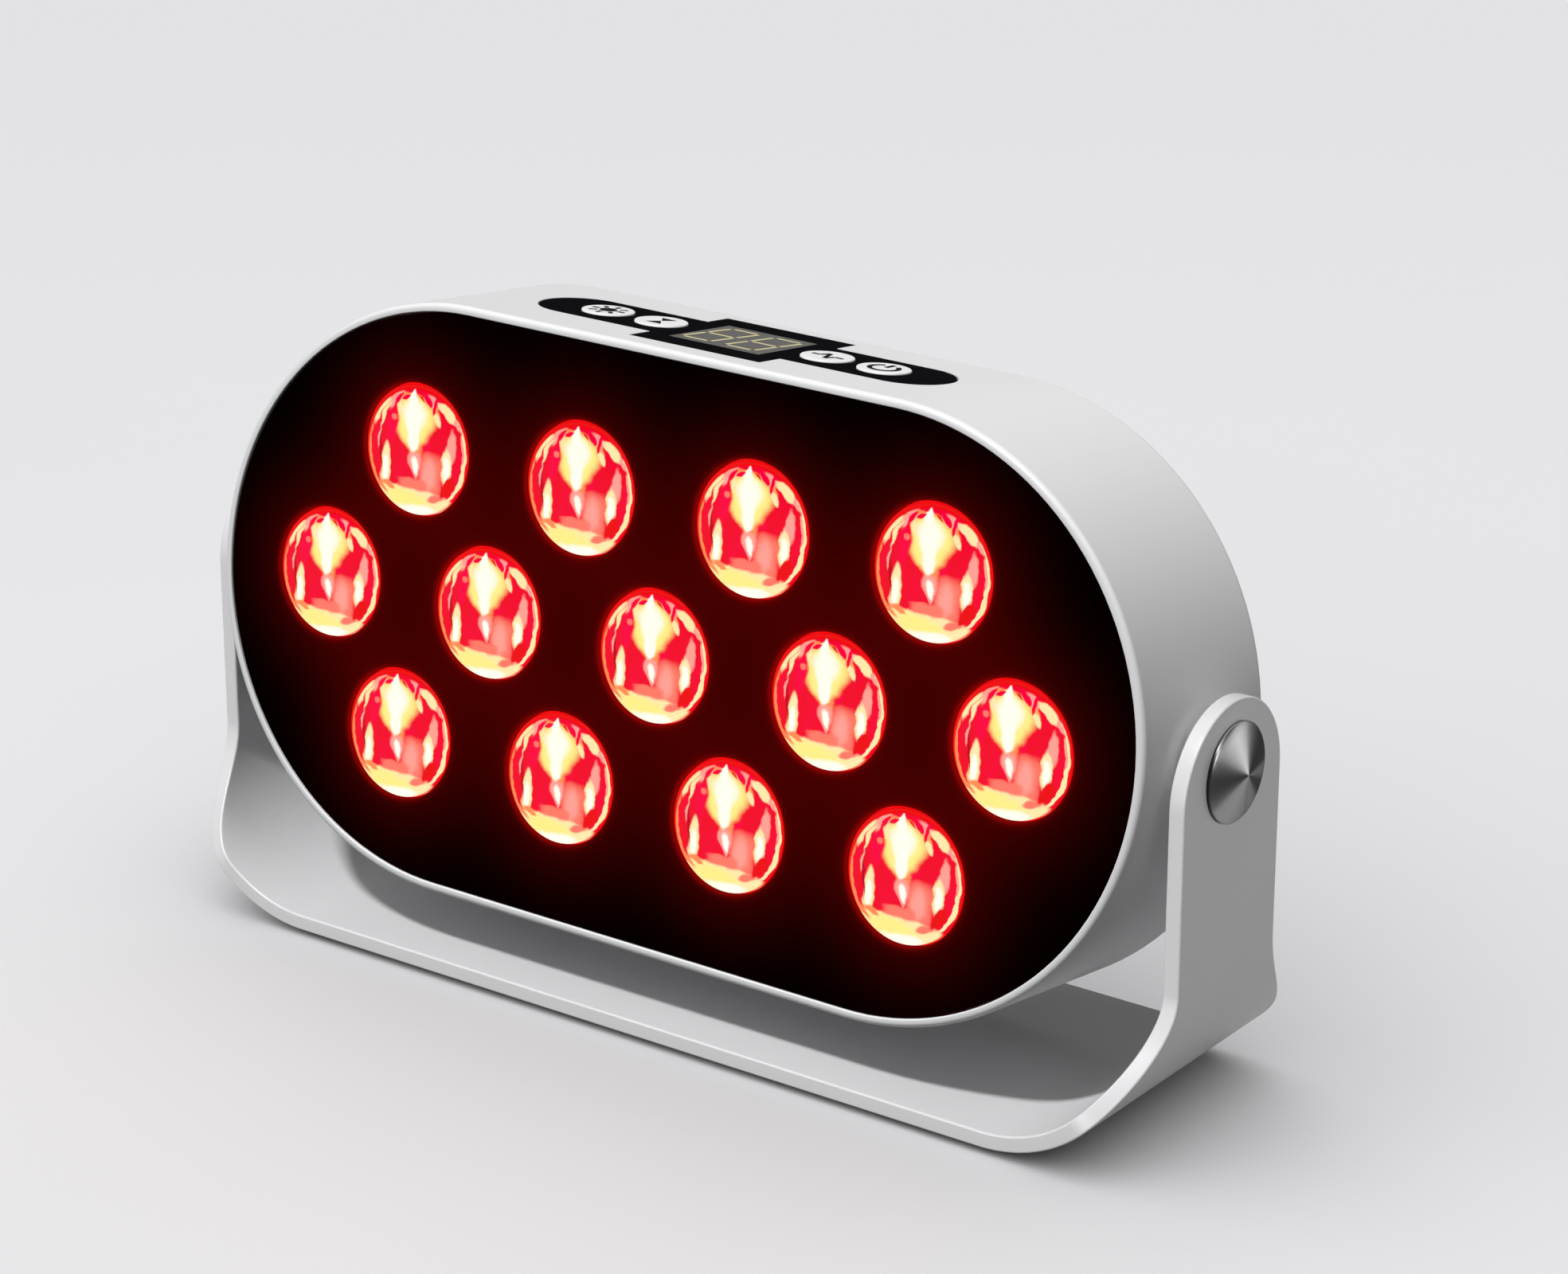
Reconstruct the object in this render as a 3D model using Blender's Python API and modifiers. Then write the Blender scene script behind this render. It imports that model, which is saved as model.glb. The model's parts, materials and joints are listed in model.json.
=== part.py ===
"""Table-top red light therapy lamp: a slim obround head of thirteen lenses, tilting between the arms of a strap stand.

The world origin lies on the table under the middle of the stand. +X runs along the head, +Y away from the lit face,
+Z up. The pieces of the head are drawn about the tilt axis, with the head upright, and lean back with their parent.
"""

import math

import bmesh
import bpy
from mathutils import Matrix

# Sizes are in metres, angles in degrees

# Clearances and overruns
GAP = 0.0003
ADHESIVE = 0.0002
OVERRUN = 0.001
WELD = 0.000001
MERGE = 0.00005

# Lens grid
LENSES_IN_ROWS = (4, 5, 4)
LENS_PITCH = 0.040
ROW_PITCH = 0.02834

# Head
END_MARGIN = 0.0274
TOP_MARGIN = 0.02976
HEAD_DEPTH = 0.0419
PIVOT_BEHIND_MIDDLE = 0.00035
HEAD_LEAN = 7.8
HEAD_WALL = 0.0024
RIM_WIDTH = 0.00174
RIM_RADIUS = 0.0011
REAR_EDGE_RADIUS = 0.0018
LEDGE_WIDTH = 0.0020
LEDGE_THICKNESS = 0.0016

# Front panel and lenses
PANEL_RECESS = 0.0003
PANEL_THICKNESS = 0.0020
LENS_DIAMETER = 0.0255
LENS_RECESS = 0.0004
LENS_CROWN = 0.0006
LENS_DEPTH = 0.0110
LENS_FLANGE_WIDTH = 0.0016
LENS_FLANGE_THICKNESS = 0.0010
LENS_BACK_DIAMETER = 0.0130
LENS_WELL_DIAMETER = 0.0076
LENS_WELL_DEPTH = 0.0034

# Emitter board and heat sink
BOARD_INSET = 0.0086
BOARD_THICKNESS = 0.0016
EMITTER_DIAMETER = 0.0050
EMITTER_HEIGHT = 0.0024
RIB_WIDTH = 0.0040
RIB_LAP = 0.0030
SINK_INSET = 0.0060
SINK_BASE = 0.0025
FIN_THICKNESS = 0.0016
FIN_PITCH = 0.0080

# Control strip, display and buttons
STRIP_THICKNESS = 0.0009
STRIP_WIDTH = 0.0178
STRIP_END_MARGIN = 0.00925
STRIP_BLOCK_LENGTH = 0.0296
STRIP_BLOCK_WIDTH = 0.0308
WINDOW_LENGTH = 0.0208
WINDOW_WIDTH = 0.0190
WINDOW_LEDGE = 0.0010
BUTTONS_A_SIDE = 2
BUTTON_DIAMETER = 0.0103
BUTTON_FROM_WINDOW = 0.0038
BUTTON_SPACING = 0.00245
BUTTON_PROUD = 0.0003
BUTTON_CHAMFER = 0.0003
BUTTON_TRAVEL = 0.0004
BUTTON_FLANGE_WIDTH = 0.0008
BUTTON_FLANGE_THICKNESS = 0.0012
BUTTON_STEM_DIAMETER = 0.0032
SWITCH_SIZE = 0.0060
SWITCH_HEIGHT = 0.0017
SWITCH_PLUNGER_DIAMETER = 0.0030
SWITCH_PLUNGER_HEIGHT = 0.0008
DISPLAY_HEIGHT = 0.0060
DISPLAY_EDGE = 0.0003
CONTROL_BOARD_MARGIN = 0.0005
CONTROL_BOARD_CORNER = 0.0010
CEILING_POST_DIAMETER = 0.0050
CEILING_POST_SPREAD = 0.0060
CEILING_POST_MARGIN = 0.0005

# Rear cover, its screws and vents
REAR_RECESS = 0.0006
COVER_THICKNESS = 0.0022
COVER_EDGE = 0.0008
REAR_POST_LAP = 0.0008
REAR_POST_LENGTH = 0.0070
REAR_POST_ANGLES = (55.0, 125.0)
SCREW_HEAD_DIAMETER = 0.0050
SCREW_HEAD_HEIGHT = 0.0012
SCREW_HEAD_CHAMFER = 0.0003
REAR_SCREW_DIAMETER = 0.0026
REAR_SCREW_LENGTH = 0.0060
FAN_SCREW_DIAMETER = 0.0036
FAN_SCREW_LENGTH = 0.0060
VENT_WIDTH = 0.0026
VENT_PITCH = 0.0070
VENT_LENGTH = 0.0260
VENT_LIFT = 0.0140
VENT_MARGIN = 0.0080
VENTS_A_SIDE = 4

# Fan
FAN_SIZE = 0.0600
FAN_THICKNESS = 0.0100
FAN_CORNER = 0.0040
FAN_WALL = 0.0015
FAN_HOLE_INSET = 0.0050
FAN_HOLE_DIAMETER = 0.0043
FAN_HUB_DIAMETER = 0.0240
FAN_STRUT_WIDTH = 0.0025
FAN_STRUT_THICKNESS = 0.0018
FAN_SETBACK = 0.0006
FAN_RUNNING_GAP = 0.0005
FAN_SHAFT_DIAMETER = 0.0030
FAN_BLADES = 7
BLADE_THICKNESS = 0.0009
BLADE_TIP_GAP = 0.0010
BLADE_SPAN = 34.0
BLADE_SWEEP = 16.0

# Power inlet and driver board
INLET_NOSE_DIAMETER = 0.0080
INLET_BODY_DIAMETER = 0.0110
INLET_BODY_LENGTH = 0.0080
INLET_BORE_DIAMETER = 0.0058
INLET_BORE_DEPTH = 0.0085
INLET_PIN_DIAMETER = 0.0020
INLET_PIN_SETBACK = 0.0010
INLET_FROM_FAN = 0.0200
INLET_DROP = 0.0240
DRIVER_LENGTH = 0.0500
DRIVER_WIDTH = 0.0300
DRIVER_THICKNESS = 0.0016
DRIVER_FROM_FAN = 0.0050
DRIVER_DROP = 0.0200
DRIVER_STANDOFF = 0.0070
DRIVER_POST_DIAMETER = 0.0050
DRIVER_POST_INSET = 0.0035
CAPACITOR_DIAMETER = 0.0080
CAPACITOR_HEIGHT = 0.0060
INDUCTOR_DIAMETER = 0.0110
INDUCTOR_HEIGHT = 0.0050

# Pivot
BOSS_DIAMETER = 0.0160
BOSS_PROUD = 0.0005
BOSS_END_WALL = 0.0013
INSERT_DIAMETER = 0.0080
INSERT_LENGTH = 0.0090
STUD_DIAMETER = 0.0050
STUD_CLEARANCE = 0.0004
STUD_SHORTFALL = 0.0010
STUD_CHAMFER = 0.0005
WASHER_DIAMETER = 0.0200
KNOB_DIAMETER = 0.0188
KNOB_RIM = 0.0007
KNOB_CHAMFER = 0.0003
KNOB_CROWN = 0.0021
KNOB_TIP_DIAMETER = 0.0012

# Stand
STRAP_THICKNESS = 0.0032
STRAP_EDGE_RADIUS = 0.0004
SIDE_GAP = 0.0028
BASE_DEPTH = 0.0632
ARM_WIDTH = 0.0332
ARM_TIP_DROP = 0.0031
BEND_RADIUS = 0.0320
FLARE_START = 0.0225
FLARE_RISE = 0.0007
SWING_CLEARANCE = 0.0053
PAD_THICKNESS = 0.0010
PAD_INSET = 0.0060
PAD_CORNER = 0.0050

# Facets of the round shapes, and the angles that tell flat faces, round sides and edges apart
FLAT_ANGLE = 0.1
SMOOTH_ANGLE = 30.0
EDGE_ANGLE = 50.0
END_STEPS = 22
RIM_STEPS = 2
BEND_STEPS = 14
LENS_STEPS = 15
EMITTER_STEPS = 6
BUTTON_STEPS = 16
KNOB_STEPS = 26
PIVOT_STEPS = 14
SCREW_STEPS = 10
DUCT_STEPS = 24
SLOT_STEPS = 3
CORNER_STEPS = 3

# Outer sizes of the head
half_length = (max(LENSES_IN_ROWS) - 1) * LENS_PITCH / 2 + END_MARGIN
half_height = (len(LENSES_IN_ROWS) - 1) * ROW_PITCH / 2 + TOP_MARGIN
front = -HEAD_DEPTH / 2 - PIVOT_BEHIND_MIDDLE
rear = front + HEAD_DEPTH
cavity_length = half_length - HEAD_WALL
cavity_height = half_height - HEAD_WALL

# Depths of the layers behind the lit face, from front to rear
panel_front = front + PANEL_RECESS
panel_back = panel_front + PANEL_THICKNESS
ledge_front = panel_back + GAP
ledge_back = ledge_front + LEDGE_THICKNESS
lens_edge = panel_front + LENS_RECESS
lens_back = lens_edge + LENS_DEPTH
board_front = lens_back + GAP
board_back = board_front + BOARD_THICKNESS
sink_front = board_back + GAP
sink_back = sink_front + SINK_BASE
cover_back = rear - REAR_RECESS
cover_front = cover_back - COVER_THICKNESS
fan_back = cover_front - GAP
fan_front = fan_back - FAN_THICKNESS
fin_end = fan_front - GAP
driver_back = cover_front - DRIVER_STANDOFF - GAP

# Heights of the layers under the control strip, from top to bottom
seat_floor = half_height - STRIP_THICKNESS - GAP
display_top = seat_floor
display_bottom = display_top - DISPLAY_HEIGHT
control_top = display_bottom - GAP
control_bottom = control_top - BOARD_THICKNESS
button_top = half_height + BUTTON_PROUD
button_bottom = control_top + SWITCH_HEIGHT + SWITCH_PLUNGER_HEIGHT + BUTTON_TRAVEL + GAP

# Places along the control strip
button_pitch = BUTTON_DIAMETER + BUTTON_SPACING
first_button = WINDOW_LENGTH / 2 + BUTTON_FROM_WINDOW + BUTTON_DIAMETER / 2
last_button = first_button + (BUTTONS_A_SIDE - 1) * button_pitch
strip_half_length = last_button + BUTTON_DIAMETER / 2 + STRIP_END_MARGIN
button_flange = BUTTON_DIAMETER / 2 + BUTTON_FLANGE_WIDTH
ceiling_post_x = last_button + button_flange + CEILING_POST_DIAMETER / 2 + CEILING_POST_MARGIN
control_half_length = ceiling_post_x + CEILING_POST_DIAMETER / 2 + CEILING_POST_MARGIN
control_half_width = WINDOW_WIDTH / 2 + CONTROL_BOARD_MARGIN

# Posts for the rear cover's screws, far enough in for the screw heads and thick enough to meet the wall
rear_post_inset = SCREW_HEAD_DIAMETER / 2 + GAP + COVER_EDGE + GAP
rear_post_radius = rear_post_inset + REAR_POST_LAP

# Places of the fan, the inlet and the driver board on the rear cover
fan_hole = FAN_SIZE / 2 - FAN_HOLE_INSET
duct_radius = FAN_SIZE / 2 - FAN_WALL
inlet_place = (-(FAN_SIZE / 2 + INLET_FROM_FAN), -INLET_DROP)
driver_place = (FAN_SIZE / 2 + DRIVER_FROM_FAN + DRIVER_LENGTH / 2, -DRIVER_DROP)

# Places along the pivot axis, from the middle outwards
boss_face = half_length + BOSS_PROUD
insert_outer = boss_face - GAP
insert_inner = insert_outer - INSERT_LENGTH
bore_end = insert_inner - GAP
boss_inner = bore_end - BOSS_END_WALL
arm_inner = half_length + SIDE_GAP
arm_outer = arm_inner + STRAP_THICKNESS
knob_seat = arm_outer + GAP

# Heights of the stand
swing_radius = math.hypot(half_height, max(-front, rear))
strap_bottom = PAD_THICKNESS + ADHESIVE
pivot_height = strap_bottom + STRAP_THICKNESS + SWING_CLEARANCE + swing_radius

# Directions that a shape drawn in its own XY plane, or turned about its own Z, can face
UPWARDS = (0, 0, 0)
FORWARDS = (math.pi / 2, 0, 0)
BACKWARDS = (-math.pi / 2, 0, 0)
RIGHTWARDS = (0, math.pi / 2, 0)
LEFTWARDS = (0, -math.pi / 2, 0)


# Scene

def clear_scene():
    """Removes every object, so that the script can be run again."""
    for obj in list(bpy.data.objects):
        bpy.data.objects.remove(obj, do_unlink=True)


def new_collection(name):
    """A collection linked to the scene."""
    collection = bpy.data.collections.new(name)
    bpy.context.scene.collection.children.link(collection)
    return collection


clear_scene()
parts = new_collection("red_light_therapy_lamp")
cutters = new_collection("cutters")


def new_material(name, colour, roughness, metallic=0.0):
    """A plain material with the colour and finish of one kind of piece."""
    material = bpy.data.materials.new(name)
    material.use_nodes = True
    shader = material.node_tree.nodes["Principled BSDF"]
    shader.inputs["Base Color"].default_value = (*colour, 1.0)
    shader.inputs["Roughness"].default_value = roughness
    shader.inputs["Metallic"].default_value = metallic
    material.diffuse_color = (*colour, 1.0)
    return material


WHITE_PLASTIC = new_material("white_plastic", (0.80, 0.80, 0.81), 0.35)
WHITE_PAINT = new_material("white_paint", (0.74, 0.74, 0.75), 0.38)
BLACK_GLOSS = new_material("black_gloss", (0.010, 0.008, 0.008), 0.12)
BLACK_FILM = new_material("black_film", (0.012, 0.012, 0.013), 0.40)
BLACK_PLASTIC = new_material("black_plastic", (0.020, 0.020, 0.022), 0.50)
RED_OPTIC = new_material("red_optic", (0.85, 0.06, 0.04), 0.10)
GREY_WINDOW = new_material("grey_window", (0.22, 0.22, 0.22), 0.20)
BUTTON_WHITE = new_material("button_white", (0.88, 0.88, 0.88), 0.30)
SPUN_METAL = new_material("spun_metal", (0.55, 0.55, 0.56), 0.25, 1.0)
BRASS = new_material("brass", (0.78, 0.60, 0.28), 0.30, 1.0)
STEEL = new_material("steel", (0.60, 0.60, 0.62), 0.35, 1.0)
ALUMINIUM = new_material("aluminium", (0.72, 0.72, 0.74), 0.40, 1.0)
BOARD_WHITE = new_material("board_white", (0.75, 0.75, 0.72), 0.45)
BOARD_GREEN = new_material("board_green", (0.02, 0.18, 0.07), 0.40)
NYLON = new_material("nylon", (0.65, 0.65, 0.62), 0.50)
RUBBER = new_material("rubber", (0.06, 0.06, 0.06), 0.75)


def new_pivot():
    """The empty on the tilt axis that carries the head and leans it back."""
    pivot = bpy.data.objects.new("head_pivot", None)
    pivot.empty_display_size = half_height
    pivot.location = (0, 0, pivot_height)
    pivot.rotation_euler = (-math.radians(HEAD_LEAN), 0, 0)
    parts.objects.link(pivot)
    return pivot


HEAD = new_pivot()


def add_object(name, mesh, material, parent=None, place=(0, 0, 0), facing=UPWARDS):
    """A named piece, shaded smooth over its round sides. Without a material it is a cutter."""
    obj = bpy.data.objects.new(name, mesh)
    if material:
        mesh.materials.append(material)
        parts.objects.link(obj)
    else:
        cutters.objects.link(obj)
        obj.hide_render = True
        obj.display_type = "WIRE"
    obj.parent = parent
    obj.location = place
    obj.rotation_euler = facing
    mesh.shade_smooth()
    mesh.set_sharp_from_angle(angle=math.radians(SMOOTH_ANGLE))
    return obj


def combine(target, tool, operation, solver="EXACT"):
    """Joins the tool to the target, or cuts it out of it. Where many corners lie in line, MANIFOLD keeps it closed."""
    modifier = target.modifiers.new(tool.name, "BOOLEAN")
    modifier.operation = operation
    modifier.solver = solver
    modifier.object = tool


# Outlines

def arc(radius, centre, start, sweep, steps):
    """Points along a circular arc, both ends included."""
    angles = [math.radians(start + sweep * step / steps) for step in range(steps + 1)]
    return [(centre[0] + radius * math.cos(a), centre[1] + radius * math.sin(a)) for a in angles]


def circle(radius, steps, centre=(0, 0)):
    """Points round a full circle."""
    return arc(radius, centre, 0, 360, steps)[:-1]


def obround(half_long, half_wide, steps=END_STEPS, centre=(0, 0)):
    """Two half circles joined by straight runs along X."""
    reach = half_long - half_wide
    right = arc(half_wide, (centre[0] + reach, centre[1]), -90, 180, steps)
    left = arc(half_wide, (centre[0] - reach, centre[1]), 90, 180, steps)
    return right + left


def upright_slot(length, width, centre):
    """A slot with round ends along the outline's second axis."""
    lying = obround(length / 2, width / 2, SLOT_STEPS)
    return [(centre[0] - y, centre[1] + x) for x, y in lying]


def rectangle(length, width, centre=(0, 0)):
    """A rectangle about its centre."""
    corners = ((1, -1), (1, 1), (-1, 1), (-1, -1))
    return [(centre[0] + x * length / 2, centre[1] + y * width / 2) for x, y in corners]


def rounded_rectangle(length, width, radius):
    """A rectangle with round corners."""
    points = []
    for start, x, y in ((-90, 1, -1), (0, 1, 1), (90, -1, 1), (180, -1, -1)):
        corner = (x * (length / 2 - radius), y * (width / 2 - radius))
        points += arc(radius, corner, start, 90, CORNER_STEPS)
    return points


# Meshes

def flat_mesh(name, outlines, thickness):
    """A plate with the first outline's shape and the others as holes, centred on its own XY plane.

    Its flat sides are merged into large faces, unless there are several holes for such a face to go round.
    """
    curve = bpy.data.curves.new(name, "CURVE")
    curve.dimensions = "2D"
    curve.fill_mode = "BOTH"
    curve.extrude = thickness / 2
    for outline in outlines:
        spline = curve.splines.new("POLY")
        spline.points.add(len(outline) - 1)
        for point, (x, y) in zip(spline.points, outline):
            point.co = (x, y, 0, 1)
        spline.use_cyclic_u = True
    drawn = bpy.data.objects.new(name, curve)
    bpy.context.scene.collection.objects.link(drawn)
    bpy.context.view_layer.update()
    graph = bpy.context.evaluated_depsgraph_get()
    mesh = bpy.data.meshes.new_from_object(drawn.evaluated_get(graph))
    bpy.data.objects.remove(drawn)
    bm = bmesh.new()
    bm.from_mesh(mesh)
    bmesh.ops.remove_doubles(bm, verts=bm.verts, dist=WELD)
    if len(outlines) <= 2:
        bmesh.ops.dissolve_limit(bm, angle_limit=math.radians(FLAT_ANGLE), verts=bm.verts, edges=bm.edges)
    bm.to_mesh(mesh)
    bm.free()
    mesh.name = name
    return mesh


def score_mesh(mesh, lengths):
    """Scores a flat mesh across at each length along its X, so that every face beside a score is convex."""
    bm = bmesh.new()
    bm.from_mesh(mesh)
    for length in lengths:
        geometry = bm.verts[:] + bm.edges[:] + bm.faces[:]
        bmesh.ops.bisect_plane(bm, geom=geometry, dist=WELD, plane_co=(length, 0, 0), plane_no=(1, 0, 0))
    bm.to_mesh(mesh)
    bm.free()


def add_flat(name, outlines, near, far, material, parent=HEAD, facing=FORWARDS):
    """A plate that faces forwards between two depths, or upwards between two heights."""
    middle = (near + far) / 2
    place = (0, middle, 0) if facing == FORWARDS else (0, 0, middle)
    mesh = flat_mesh(name, outlines, abs(far - near))
    return add_object(name, mesh, material, parent, place, facing)


def add_turned(name, profile, steps, material, parent, place, facing, closed=False):
    """A shape turned about its own Z from (radius, height) points that run down its outer side."""
    mesh = bpy.data.meshes.new(name)
    edges = [(i, i + 1) for i in range(len(profile) - 1)]
    if closed:
        edges.append((len(profile) - 1, 0))
    mesh.from_pydata([(radius, 0, height) for radius, height in profile], edges, [])
    obj = add_object(name, mesh, material, parent, place, facing)
    screw = obj.modifiers.new("turn", "SCREW")
    screw.axis = "Z"
    screw.steps = steps
    screw.render_steps = steps
    screw.use_merge_vertices = True
    screw.merge_threshold = WELD
    screw.use_smooth_shade = True
    return obj


def add_tube(name, outer, bore, length, steps, material, parent, place, facing):
    """A turned ring that stands on its own XY plane."""
    profile = [(outer, length), (outer, 0), (bore, 0), (bore, length)]
    return add_turned(name, profile, steps, material, parent, place, facing, closed=True)


def box_in(bm, low, high):
    """Adds a box between two corners."""
    size = [b - a for a, b in zip(low, high)]
    middle = [(a + b) / 2 for a, b in zip(low, high)]
    matrix = Matrix.Translation(middle) @ Matrix.Diagonal((*size, 1))
    bmesh.ops.create_cube(bm, size=1, matrix=matrix)


def rod_in(bm, place, radius, low, high, axis, steps, top_radius=None):
    """Adds a rod along an axis, between two places on it, at a place across it."""
    turn = {"X": Matrix.Rotation(math.pi / 2, 4, "Y"), "Y": Matrix.Rotation(-math.pi / 2, 4, "X"), "Z": Matrix()}
    middle = (low + high) / 2
    across = {"X": (middle, *place), "Y": (place[0], middle, place[1]), "Z": (*place, middle)}
    bmesh.ops.create_cone(
        bm,
        cap_ends=True,
        segments=steps,
        radius1=radius,
        radius2=radius if top_radius is None else top_radius,
        depth=high - low,
        matrix=Matrix.Translation(across[axis]) @ turn[axis],
    )


def add_tool(name, draw, parent=HEAD):
    """A cutter, or shapes to be joined on, drawn by a function into one mesh."""
    bm = bmesh.new()
    draw(bm)
    mesh = bpy.data.meshes.new(name)
    bm.to_mesh(mesh)
    bm.free()
    return add_object(name, mesh, None, parent)


# Places that repeat

def lens_places():
    """Centres of the lenses on the lit face, row by row from the top."""
    places = []
    for row, count in enumerate(LENSES_IN_ROWS):
        z = ((len(LENSES_IN_ROWS) - 1) / 2 - row) * ROW_PITCH
        places += [((column - (count - 1) / 2) * LENS_PITCH, z) for column in range(count)]
    return places


def button_places():
    """Centres of the buttons along the strip, from left to right."""
    right = [first_button + i * button_pitch for i in range(BUTTONS_A_SIDE)]
    return [-x for x in reversed(right)] + right


def rear_post_places():
    """Centres of the posts that take the rear cover's screws: two in each end, one at the top and one at the bottom."""
    inset = cavity_height - rear_post_inset
    reach = cavity_length - cavity_height
    places = [(0, inset), (0, -inset)]
    for angle in REAR_POST_ANGLES:
        turn = math.radians(angle)
        side = math.copysign(reach, math.cos(turn))
        places += [(side + inset * math.cos(turn), flip * inset * math.sin(turn)) for flip in (1, -1)]
    return places


def fan_screw_places():
    """Centres of the fan's four fixing holes."""
    return [(x * fan_hole, z * fan_hole) for x in (1, -1) for z in (1, -1)]


def driver_post_places():
    """Centres of the posts that hold the driver board."""
    x = DRIVER_LENGTH / 2 - DRIVER_POST_INSET
    z = DRIVER_WIDTH / 2 - DRIVER_POST_INSET
    return [(driver_place[0] + i * x, driver_place[1] + j * z) for i in (1, -1) for j in (1, -1)]


# Housing

def strip_outline(clearance=0.0):
    """The control strip's outline: an obround with a wide block across its middle, grown by a clearance."""
    half = STRIP_WIDTH / 2 + clearance
    reach = strip_half_length - STRIP_WIDTH / 2
    block_x = STRIP_BLOCK_LENGTH / 2 + clearance
    block_y = STRIP_BLOCK_WIDTH / 2 + clearance
    right = arc(half, (reach, 0), -90, 180, END_STEPS // 2)
    left = arc(half, (-reach, 0), 90, 180, END_STEPS // 2)
    top = [(block_x, half), (block_x, block_y), (-block_x, block_y), (-block_x, half)]
    bottom = [(-block_x, -half), (-block_x, -block_y), (block_x, -block_y), (block_x, -half)]
    return right + top + left + bottom


def round_rims(mesh):
    """Rounds the front and rear outer edges of the housing block, each with its own radius."""
    bm = bmesh.new()
    bm.from_mesh(mesh)
    for face_side, radius in ((1, RIM_RADIUS), (-1, REAR_EDGE_RADIUS)):
        rim = [e for e in bm.edges if all(v.co.z * face_side > HEAD_DEPTH / 2 - WELD for v in e.verts)]
        bmesh.ops.bevel(bm, geom=rim, offset=radius, segments=RIM_STEPS, profile=0.5, affect="EDGES")
    bm.to_mesh(mesh)
    bm.free()


def draw_housing_posts(bm):
    """The bosses at the pivots, the posts for the rear screws and the control board, and the ribs for the board."""
    for side in (1, -1):
        ends = sorted((side * boss_inner, side * boss_face))
        rod_in(bm, (0, 0), BOSS_DIAMETER / 2, *ends, "X", PIVOT_STEPS)
    for place in rear_post_places():
        rod_in(bm, place, rear_post_radius, fan_back - REAR_POST_LENGTH, fan_back, "Y", SCREW_STEPS)
    ceiling = (seat_floor + cavity_height) / 2
    for x in (ceiling_post_x, -ceiling_post_x):
        for y in (CEILING_POST_SPREAD, -CEILING_POST_SPREAD):
            rod_in(bm, (x, y), CEILING_POST_DIAMETER / 2, control_top + GAP, ceiling, "Z", SCREW_STEPS)
    rib_x = control_half_length + RIB_WIDTH
    rib_low = cavity_height - BOARD_INSET - RIB_LAP
    rib_high = (cavity_height + half_height) / 2
    for x in (rib_x, -rib_x):
        for low, high in ((rib_low, rib_high), (-rib_high, -rib_low)):
            start = (x - RIB_WIDTH / 2, (ledge_front + ledge_back) / 2, low)
            box_in(bm, start, (x + RIB_WIDTH / 2, board_front - GAP, high))


def draw_top_openings(bm):
    """The opening for the display and the holes for the buttons, through the floor of the strip's seat."""
    x = WINDOW_LENGTH / 2 - WINDOW_LEDGE
    y = WINDOW_WIDTH / 2 - WINDOW_LEDGE
    low = cavity_height - OVERRUN
    high = half_height + OVERRUN
    box_in(bm, (-x, -y, low), (x, y, high))
    for place in button_places():
        rod_in(bm, (place, 0), BUTTON_DIAMETER / 2 + GAP, low, high, "Z", BUTTON_STEPS)


def draw_housing_bores(bm):
    """The blind bores for the threaded inserts and for the rear screws."""
    for side in (1, -1):
        ends = sorted((side * bore_end, side * (boss_face + OVERRUN)))
        rod_in(bm, (0, 0), INSERT_DIAMETER / 2 + GAP, *ends, "X", PIVOT_STEPS)
    depth = cover_back - SCREW_HEAD_HEIGHT - REAR_SCREW_LENGTH - GAP
    for place in rear_post_places():
        rod_in(bm, place, REAR_SCREW_DIAMETER / 2 + GAP, depth, rear, "Y", SCREW_STEPS)


def build_housing():
    """The obround shell: a solid block, hollowed in steps so that a ledge stays behind the front rim."""
    block = add_flat("housing", [obround(half_length, half_height)], front, rear, WHITE_PLASTIC)
    round_rims(block.data)
    steps = (
        ("panel_seat", RIM_WIDTH, front - OVERRUN, ledge_front),
        ("ledge_opening", RIM_WIDTH + LEDGE_WIDTH, front - OVERRUN, ledge_back + OVERRUN),
        ("cavity", HEAD_WALL, ledge_back, rear + OVERRUN),
    )
    for name, inset, near, far in steps:
        outline = obround(half_length - inset, half_height - inset)
        combine(block, add_flat(name, [outline], near, far, None), "DIFFERENCE")
    combine(block, add_tool("housing_posts", draw_housing_posts), "UNION")
    seat = add_flat("strip_seat", [strip_outline(GAP)], seat_floor, half_height + OVERRUN, None, HEAD, UPWARDS)
    combine(block, seat, "DIFFERENCE", "MANIFOLD")
    combine(block, add_tool("top_openings", draw_top_openings), "DIFFERENCE")
    combine(block, add_tool("housing_bores", draw_housing_bores), "DIFFERENCE")


# Front panel, lenses, emitters and heat sink

def build_front_panel():
    """The glossy black plate in the front recess, with a round window for each lens."""
    inset = RIM_WIDTH + GAP
    outline = obround(half_length - inset, half_height - inset)
    windows = [circle(LENS_DIAMETER / 2 + GAP, LENS_STEPS, place) for place in lens_places()]
    add_flat("front_panel", [outline] + windows, panel_front, panel_back, BLACK_GLOSS)


def lens_profile():
    """A collimating lens: crowned front, flange behind the panel, cone down to a well over the emitter."""
    radius = LENS_DIAMETER / 2
    flange_top = LENS_DEPTH - (panel_back + GAP - lens_edge)
    flange_bottom = flange_top - LENS_FLANGE_THICKNESS
    return [
        (0, LENS_DEPTH + LENS_CROWN),
        (radius, LENS_DEPTH),
        (radius, flange_top),
        (radius + LENS_FLANGE_WIDTH, flange_top),
        (radius + LENS_FLANGE_WIDTH, flange_bottom),
        (LENS_BACK_DIAMETER / 2, 0),
        (LENS_WELL_DIAMETER / 2, 0),
        (LENS_WELL_DIAMETER / 2, LENS_WELL_DEPTH),
        (0, LENS_WELL_DEPTH),
    ]


def build_lenses():
    """One lens for each emitter, facing forwards."""
    for number, (x, z) in enumerate(lens_places(), 1):
        place = (x, lens_back, z)
        add_turned(f"lens_{number:02d}", lens_profile(), LENS_STEPS, RED_OPTIC, HEAD, place, FORWARDS)


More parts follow.
